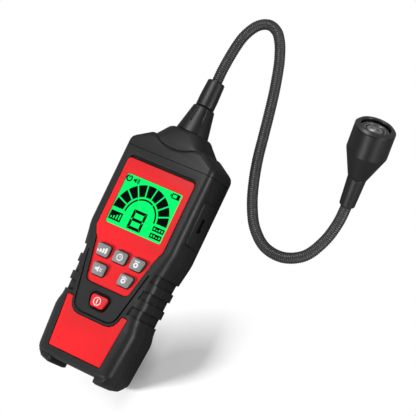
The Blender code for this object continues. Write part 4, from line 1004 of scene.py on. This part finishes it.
@dataclass
class Keypad:
    """The five grey keys and the red one, with a white sign on each."""

    lift: float = 0.005 * MM
    crisp_angle: float = 50.0
    keys: tuple[Key, ...] = (
        Key("key_upper_left", "upper_left_key", Look.KEY, Symbol.LEVELS, (-14.8, -5.1)),
        Key("key_upper_middle", "upper_middle_key", Look.KEY, Symbol.CLOCK, (-0.2, -5.1)),
        Key("key_upper_right", "upper_right_key", Look.KEY, Symbol.BELL, (13.6, -5.1)),
        Key("key_lower_left", "lower_left_key", Look.KEY, Symbol.HORN, (-11.2, -18.0)),
        Key("key_lower_right", "lower_right_key", Look.KEY, Symbol.TARGET, (10.0, -18.0)),
        Key("power_key", "power_button", Look.POWER, Symbol.SWITCH, (-0.9, -37.9)),
    )

    def draw(self, art: Art, symbol: Symbol) -> None:
        """Draws one sign around the marks' middle.

        Args:
            art: The marks.
            symbol: The sign.
        """
        if symbol is Symbol.LEVELS:
            for number in range(4):
                left = 2.05 * number - 3.9
                art.tile((left, -2.0), (left + 1.5, 0.85 * number - 0.5))
        elif symbol is Symbol.CLOCK:
            art.sector((0, 0), 1.7, 2.45).bar((0, 0), (0, 1.3), 0.65).bar((0, 0), (1.1, 0), 0.65)
        elif symbol is Symbol.BELL:
            art.sector((0, -0.5), 0.7, 1.95).bar((-2.1, 2.1), (2.1, 2.1), 0.75)
        elif symbol is Symbol.HORN:
            art.bar((-2.8, 0), (-1.6, 0), 1.8).mitred((0.3, -2.3), (0.3, 2.3), 1.9, (0.75, 0.75))
            art.bar((0.9, -1.2), (2.9, 1.2), 0.7).bar((0.9, 1.2), (2.9, -1.2), 0.7)
        elif symbol is Symbol.TARGET:
            art.sector((0, -0.4), 0.7, 1.9).sector((0, -0.4), 2.3, 3.0, 40, 140)
        else:
            art.sector((0, 0), 2.35, 2.95).bar((0, -1.5), (0, 1.5), 0.8)

    def build(self) -> None:
        """Dresses the keys and lays a sign on each."""
        for key in self.keys:
            wear(key.node, key.look, self.crisp_angle)
            art = Art(float(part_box(key.node)[1][2]) + self.lift, key.spot)
            self.draw(art, key.symbol)
            sign = key.node.replace("key_", "").replace("_key", "")
            art.make(f"sign_{sign}", Look.LEGEND, key.body, "white_plastic")
        log.info("keypad built")


@dataclass
class Gooseneck:
    """The wound gooseneck: a tube along a smooth route whose skin is one fine helical ridge."""

    radius: float = 3.74 * MM
    depth: float = 0.40 * MM
    pitch: float = 1.45 * MM
    around: int = 28
    stations: int = 8
    curve_steps: int = 64
    height: float = 18.3
    straight: tuple[float, ...] = (100.0, 115.2, 130.4)
    route: tuple[Point, ...] = (
        (0.0, 141.0, 18.3), (1.4, 156.7, 18.2), (3.9, 167.4, 18.0), (9.4, 176.2, 17.8), (17.0, 179.8, 17.5),
        (24.6, 177.4, 17.2), (30.2, 170.9, 16.9), (34.3, 162.7, 16.6), (37.3, 154.6, 16.2),
        (41.6, 139.3, 15.5), (45.1, 123.7, 14.9), (48.3, 108.1, 14.4), (51.7, 92.5, 14.2),
        (56.5, 77.3, 14.2), (62.9, 62.7, 14.2), (72.0, 49.6, 14.4), (85.0, 40.6, 14.8), (100.7, 39.1, 15.8),
        (115.1, 45.4, 17.4), (124.4, 57.8, 20.3), (129.9, 71.2, 24.3),
    )
    head_reach: float = 21.1 * MM

    def knots(self) -> Array:
        """The route's points in metres, from inside the boot to inside the head's sleeve."""
        straight = [(0.0, reach, self.height) for reach in self.straight]
        start = np.array(HEAD_AXIS.start)
        end = start + HEAD_AXIS.frame()[0] * self.head_reach
        return np.concatenate([np.array([*straight, *self.route]) * MM, [start, end]])

    def centreline(self) -> Array:
        """Points at equal steps along the smooth curve through the knots, a cubic between each two.

        Between knots b and c, with a before and d after:
        (2b + (c - a)t + (2a - 5b + 4c - d)t^2 + (3b - a - 3c + d)t^3) / 2.

        Returns:
            The points.
        """
        knots = self.knots()
        ends = np.concatenate([[2 * knots[0] - knots[1]], knots, [2 * knots[-1] - knots[-2]]])
        a, b, c, d = (ends[shift:len(ends) - 3 + shift, None, :] for shift in range(4))
        t = np.linspace(0, 1, self.curve_steps, endpoint=False)[None, :, None]
        square, cube = 2 * a - 5 * b + 4 * c - d, 3 * b - a - 3 * c + d
        curve = (2 * b + (c - a) * t + square * t ** 2 + cube * t ** 3) / 2
        curve = np.concatenate([curve.reshape(-1, 3), knots[-1:]])
        reach = np.concatenate([[0.0], np.cumsum(np.linalg.norm(np.diff(curve, axis=0), axis=1))])
        goal = np.linspace(0, reach[-1], int(reach[-1] / (self.pitch / self.stations)))
        return np.stack([np.interp(goal, reach, curve[:, axis]) for axis in range(3)], axis=-1)

    def build(self) -> None:
        """Builds the ridged tube: c(s) + r(s, a) (cos a side + sin a up), r = R - D sin(pi s/p - a/2)^4.

        A row of points in one place at each end closes it.
        """
        line = self.centreline()
        side = unit(np.cross(unit(np.gradient(line, axis=0)), (0.0, 0.0, 1.0)))
        up = np.cross(side, unit(np.gradient(line, axis=0)))
        angle = np.linspace(0, TURN, self.around, endpoint=False)
        turn = np.arange(len(line))[:, None] * (math.pi / self.stations) - angle / 2
        root = np.sin(turn) ** 4
        ring = np.cos(angle)[:, None] * side[:, None] + np.sin(angle)[:, None] * up[:, None]
        skin = line[:, None] + (self.radius - self.depth * root)[..., None] * ring
        ends = np.repeat(line[[0, -1], None], self.around, axis=1)
        points = np.concatenate([ends[:1], skin, ends[1:]])
        faces = grid_faces(len(points), self.around, wrap=True)[:, ::-1]
        made = piece("wound_gooseneck", (points.reshape(-1, 3), faces), Look.COAT, poles=True)
        crest = made.data.attributes.new("crest", "FLOAT", "POINT")
        crest.data.foreach_set("value", np.pad(1 - root, ((1, 1), (0, 0))).reshape(-1))
        settle(made, CASING, "gooseneck_coat", "gooseneck")
        log.info("gooseneck built with %d stations", len(line))


@dataclass
class NeckFittings:
    """The slotted boot and the sleeve at the casing end."""

    bore: float = 4.15 * MM
    gap: float = 0.3 * MM
    height: float = 18.3 * MM
    boot_length: float = 19.5 * MM
    boot_base: float = 11.7 * MM
    boot_tip: float = 7.7 * MM
    boot_rounding: float = 0.35 * MM
    boot_step: float = 0.4 * MM
    boot_around: int = 320
    base_taper: Spot = (0.2 * MM, 1.0 * MM)
    slots: int = 8
    slot_width: float = 1.2 * MM
    slot_depth: float = 0.9 * MM
    slot_length: float = 10.0 * MM
    slot_margin: float = 1.4 * MM
    slot_radius: float = 9.0 * MM
    slot_ease: Spot = (0.25 * MM, 0.4 * MM)
    sleeve_length: float = 19.3 * MM
    sleeve_base: float = 6.6 * MM
    sleeve_tip: float = 6.1 * MM
    sleeve_even: float = 7.72 * MM
    sleeve_rounding: float = 0.4 * MM
    sleeve_step: float = 1.0 * MM
    sleeve_around: int = 128
    lip: float = 0.6 * MM

    def slotted(self, radius: Array, reach: Array, angle: Array) -> tuple[Array, Array]:
        """Sinks the slots: the depth times a share across and a share along, each easing at the slot's edges.

        The way across is the angle's distance from the nearest slot times the slot radius.

        Args:
            radius: Radius at each point.
            reach: Reach at each point.
            angle: Angle around the axis.

        Returns:
            The changed radius and the reach.
        """
        turn = angle * self.slots / TURN
        across = np.abs(turn - np.round(turn)) * (TURN / self.slots) * self.slot_radius
        along = np.abs(reach - (self.boot_length - self.slot_margin - self.slot_length / 2))
        side = np.clip((self.slot_width / 2 - across) / self.slot_ease[0] + 0.5, 0, 1)
        end = np.clip((self.slot_length / 2 - along) / self.slot_ease[1] + 0.5, 0, 1)
        outer = radius > self.boot_tip - 0.5 * self.lip
        return radius - self.slot_depth * side * end * outer, reach

    def build(self) -> None:
        """Builds the boot with its slots and the tapered sleeve, each a closed turned wall."""
        low = float(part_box("neck_boot")[0][1])
        boot = eased([
            (self.bore, 0.0), (self.boot_base, 0.0),
            (self.boot_base - self.base_taper[0], self.base_taper[1]),
            (self.boot_tip, self.boot_length - self.lip), (self.boot_tip - self.lip, self.boot_length),
            (self.bore, self.boot_length),
        ], self.boot_rounding)
        axis = Axis((0.0, low, self.height), (0.0, 1.0, 0.0))
        skin = axis.turned(dense(boot, self.boot_step), self.boot_around, relief=self.slotted)
        settle(piece("slotted_boot", skin, Look.RUBBER), CASING, "black_rubber", "neck_boot")
        chamfer = self.sleeve_rounding
        sleeve = eased([
            (self.bore, 0.0), (self.sleeve_base - chamfer, 0.0), (self.sleeve_base, chamfer),
            (self.sleeve_base, self.sleeve_even), (self.sleeve_tip, self.sleeve_length - self.lip),
            (self.sleeve_tip - self.lip, self.sleeve_length), (self.bore, self.sleeve_length),
        ], self.sleeve_rounding)
        axis = Axis((0.0, low + self.boot_length + self.gap, self.height), (0.0, 1.0, 0.0))
        skin = axis.turned(dense(sleeve, self.sleeve_step), self.sleeve_around)
        settle(piece("tapered_sleeve", skin, Look.RUBBER), CASING, "black_rubber", "neck_sleeve")
        log.info("neck fittings built")


@dataclass
class SensorHead:
    """The sensor head: sleeve, housing, rim and the disc in its mouth; reaches run along its axis."""

    axis: Axis = HEAD_AXIS
    around: int = 144
    bore: float = 4.15 * MM
    gap: float = 0.3 * MM
    sleeve_length: float = 21.4 * MM
    sleeve_low: float = 5.2 * MM
    sleeve_high: float = 6.2 * MM
    sleeve_chamfers: Spot = (0.6 * MM, 0.3 * MM)
    sleeve_rounding: float = 0.4 * MM
    cone_length: float = 18.0 * MM
    cone_radius: float = 6.6 * MM
    throat: float = 2.2 * MM
    step: float = 0.12 * MM
    step_ends: Spot = (0.2 * MM, 0.05 * MM)
    radius: float = 13.54 * MM
    length: float = 19.6 * MM
    depth: float = 12.0 * MM
    wall: float = 1.8 * MM
    rim_height: float = 1.8 * MM
    chamfer: float = 1.7 * MM
    mouth: float = 10.0 * MM
    mouth_chamfer: float = 0.3 * MM
    rim_rounding: float = 0.25 * MM
    recess: float = 2.6 * MM
    disc_depth: float = 5.0 * MM
    disc_chamfer: float = 0.5 * MM
    grooves: tuple[tuple[float, ...], ...] = ((8.3, 8.1, 7.6, 7.4, 0.5), (6.5, 6.2, 5.7, 5.4, 0.7))
    crown: float = 1.3 * MM
    crown_radius: float = 5.4 * MM
    crown_drop: float = 0.1 * MM
    crown_steps: int = 40
    hole_circle: float = 1.9 * MM
    hole_radius: float = 1.0 * MM
    hole_depth: float = 1.2 * MM
    hole_ease: float = 0.15 * MM
    hole_skin: float = 0.9 * MM
    holes: int = 3
    coarse: float = 1.0 * MM
    fine: float = 0.5 * MM

    def __post_init__(self) -> None:
        """Works out the reach of the mouth's edge and of the disc's face."""
        self.end = self.sleeve_length + self.cone_length + self.length
        self.top = self.end - self.recess

    def place(self, name: str, profile: Array, look: Look, node: str, slot: str, loop: bool = True,
              relief: Relief | None = None) -> None:
        """Turns a profile on the head's axis and puts it in a node's place.

        Args:
            name: The piece's name.
            profile: Radius and reach at each station.
            look: Its finish.
            node: The node that it replaces.
            slot: The record's material slot.
            loop: Whether the profile closes on itself; one that doesn't starts and ends on the axis.
            relief: Changes radius and reach where the form isn't round.
        """
        skin = self.axis.turned(profile, self.around, loop, relief)
        settle(piece(name, skin, look, poles=not loop), CASING, slot, node)

    def pierced(self, radius: Array, reach: Array, angle: Array) -> tuple[Array, Array]:
        """Sinks the disc's holes: full depth where the distance to a hole's middle is under its radius.

        Args:
            radius: Radius at each point.
            reach: Reach at each point.
            angle: Angle around the axis.

        Returns:
            The radius and the changed reach.
        """
        drop = np.zeros_like(radius)
        for number in range(self.holes):
            spot = TURN * number / self.holes
            far = np.hypot(radius * np.cos(angle) - self.hole_circle * math.cos(spot),
                           radius * np.sin(angle) - self.hole_circle * math.sin(spot))
            drop = np.maximum(drop, np.clip((self.hole_radius - far) / self.hole_ease + 0.5, 0, 1))
        return radius, reach - self.hole_depth * drop * (reach > self.top - self.hole_skin)

    def disc(self) -> Array:
        """The disc's profile: a flat land with round grooves, then a crown that rises as a cosine.

        A groove gives the radii of its outer edge, its floor's two edges and its inner edge, and its depth,
        in millimetres. The last one's inner edge is where the crown starts.

        Returns:
            Radius and reach at each station.
        """
        top, edge, foot = self.top, self.mouth - self.gap, self.top - self.crown_drop
        flat = [(0.0, top - self.disc_depth), (edge, top - self.disc_depth), (edge, top - self.disc_chamfer),
                (edge - self.disc_chamfer, top)]
        for outer, high, low, inner, depth in self.grooves:
            floor = top - depth * MM
            flat += [(outer * MM, top), (high * MM, floor), (low * MM, floor), (inner * MM, top)]
        flat[-1] = (self.crown_radius, foot)
        spread = np.linspace(self.crown_radius, 0.0, self.crown_steps)
        rise = self.crown * np.cos(spread / self.crown_radius * math.pi / 2)
        crown = np.stack([spread, foot + rise], axis=-1)
        return np.concatenate([dense(eased(flat, self.step), self.fine), crown[1:]])

    def build(self) -> None:
        """Builds the four turned pieces."""
        low = self.sleeve_length + self.gap
        shoulder = low + self.cone_length
        rim_low = self.end - self.rim_height
        inner, floor = self.radius - self.wall, self.end - self.depth
        first, last = self.sleeve_chamfers
        sleeve = eased([
            (self.bore, 0.0), (self.sleeve_low - first, 0.0), (self.sleeve_low, first),
            (self.sleeve_high, self.sleeve_length - last), (self.sleeve_high - last, self.sleeve_length),
            (self.bore, self.sleeve_length),
        ], self.sleeve_rounding)
        self.place("head_grip_sleeve", dense(sleeve, self.coarse), Look.RUBBER, "head_sleeve", "black_rubber")
        far, near = self.step_ends
        housing = eased([
            (self.throat, low), (self.cone_radius, low), (self.radius - self.step, shoulder - far),
            (self.radius - self.step, shoulder + near), (self.radius, shoulder + far),
            (self.radius, rim_low - self.gap), (inner, rim_low - self.gap), (inner, floor),
            (self.throat, floor),
        ], self.step)
        self.place("turned_housing", dense(housing, self.coarse), Look.HEAD, "head_housing", "rear_plastic")
        rim = eased([
            (self.mouth, rim_low), (self.radius, rim_low), (self.radius, self.end - self.chamfer),
            (self.radius - self.chamfer, self.end), (self.mouth + self.mouth_chamfer, self.end),
            (self.mouth, self.end - self.mouth_chamfer),
        ], self.rim_rounding)
        self.place("turned_rim", dense(rim, self.fine), Look.RIM, "head_rim", "rear_plastic")
        self.place("sensor_disc", self.disc(), Look.DISC, "sensor_can", "steel", False, self.pierced)
        log.info("sensor head built")


@dataclass(frozen=True)
class Lamp:
    """A soft square lamp: its name, place, side and watts, and whether it lights dull surfaces and shines."""

    name: str
    spot: Point
    size: float
    power: float
    lights: bool = True
    shines: bool = True

    def hang(self, target: Point) -> None:
        """Hangs the lamp, facing a target.

        Args:
            target: The point that it faces.
        """
        data = bpy.data.lights.new(self.name, "AREA")
        data.size = self.size
        data.energy = self.power
        thing = bpy.data.objects.new(self.name, data)
        thing.visible_diffuse = self.lights
        thing.visible_glossy = self.shines
        bpy.context.scene.collection.objects.link(thing)
        back = unit(np.array(self.spot) - np.array(target))
        side = unit(np.cross((0.0, 1.0, 0.0), back))
        turn = np.column_stack([side, np.cross(back, side), back])
        thing.matrix_world = Matrix.Translation(self.spot) @ Matrix(turn.tolist()).to_4x4()


@dataclass
class Studio:
    """Floor, lamps, surround and the camera at the photograph's angle."""

    floor_half: float = 4.0
    floor_drop: float = 0.2 * MM
    target: Point = (0.04, 0.05, 0.0)
    ambient: float = 0.20
    gloss_share: float = 0.5
    place: Point = (0.69298, -0.05858, 1.18645)
    right: Point = (0.80387, 0.42838, -0.41266)
    up: Point = (-0.33896, 0.90002, 0.27400)
    back: Point = (0.48878, -0.08039, 0.86870)
    focal: float = 2025.08
    picture: float = 416.0
    sensor: float = 36.0
    clip_end: float = 50.0
    lamps: tuple[Lamp, ...] = (
        Lamp("side_lamp", (-1.25, -0.95, 0.78), 0.35, 42.0, shines=False),
        Lamp("top_lamp", (-0.15, 0.60, 1.50), 0.70, 9.0),
        Lamp("right_lamp", (1.50, 0.10, 0.28), 0.50, 7.0),
        Lamp("front_gleam", (0.10, -1.20, 0.80), 0.50, 3.0, lights=False),
        Lamp("right_gleam", (1.45, -0.65, 0.30), 0.50, 2.5, lights=False),
        Lamp("back_gleam", (-0.15, 1.45, 0.36), 0.40, 1.0, lights=False),
    )

    def camera(self) -> None:
        """Sets the camera: columns right, up and back, and a lens of focal / picture x sensor."""
        data = bpy.data.cameras.new("camera")
        data.sensor_width = self.sensor
        data.lens = self.focal / self.picture * self.sensor
        data.clip_end = self.clip_end
        thing = bpy.data.objects.new("camera", data)
        bpy.context.scene.collection.objects.link(thing)
        turn = np.column_stack([self.right, self.up, self.back])
        thing.matrix_world = Matrix.Translation(self.place) @ Matrix(turn.tolist()).to_4x4()
        bpy.context.scene.camera = thing

    def floor(self) -> None:
        """The flat floor just under the casing's back: X and Y from -half to half."""
        span = np.linspace(-self.floor_half, self.floor_half, 3)
        across, along = np.meshgrid(span, span, indexing="ij")
        points = np.stack([across, along, np.full_like(across, -self.floor_drop)], axis=-1).reshape(-1, 3)
        piece("floor", (points, grid_faces(3, 3)[:, ::-1]), Look.FLOOR)

    def surround(self) -> None:
        """The world: white to the camera and to glass, dimmer as a light and dimmer still to gloss."""
        world = bpy.data.worlds.new("surround")
        world.use_nodes = True
        tree = world.node_tree
        tree.nodes.clear()
        path = tree.nodes.new("ShaderNodeLightPath")
        seen = Sock(tree, path.outputs["Is Camera Ray"]) + Sock(tree, path.outputs["Is Transmission Ray"])
        gloss = Sock(tree, path.outputs["Is Glossy Ray"])
        dim = self.ambient * (1.0 - gloss * self.gloss_share)
        strength = dim + seen.ramp(0.0, 1.0) * (1.0 - self.ambient)
        background = tree.nodes.new("ShaderNodeBackground")
        output = tree.nodes.new("ShaderNodeOutputWorld")
        tree.links.new(strength.link, background.inputs["Strength"])
        tree.links.new(background.outputs[0], output.inputs["Surface"])
        bpy.context.scene.world = world

    def build(self) -> None:
        """Sets the stage."""
        bpy.context.scene.view_settings.view_transform = "Standard"
        self.camera()
        self.floor()
        for lamp in self.lamps:
            lamp.hang(self.target)
        self.surround()
        log.info("studio set")


def main() -> None:
    """Builds the detector's looks in order."""
    logging.basicConfig(level=logging.INFO, format="%(name)s: %(message)s")
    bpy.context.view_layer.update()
    Studio().build()
    Casing().dress()
    Insides().dress()
    Display().build()
    Keypad().build()
    NeckFittings().build()
    Gooseneck().build()
    SensorHead().build()


if __name__ == "__main__":
    main()
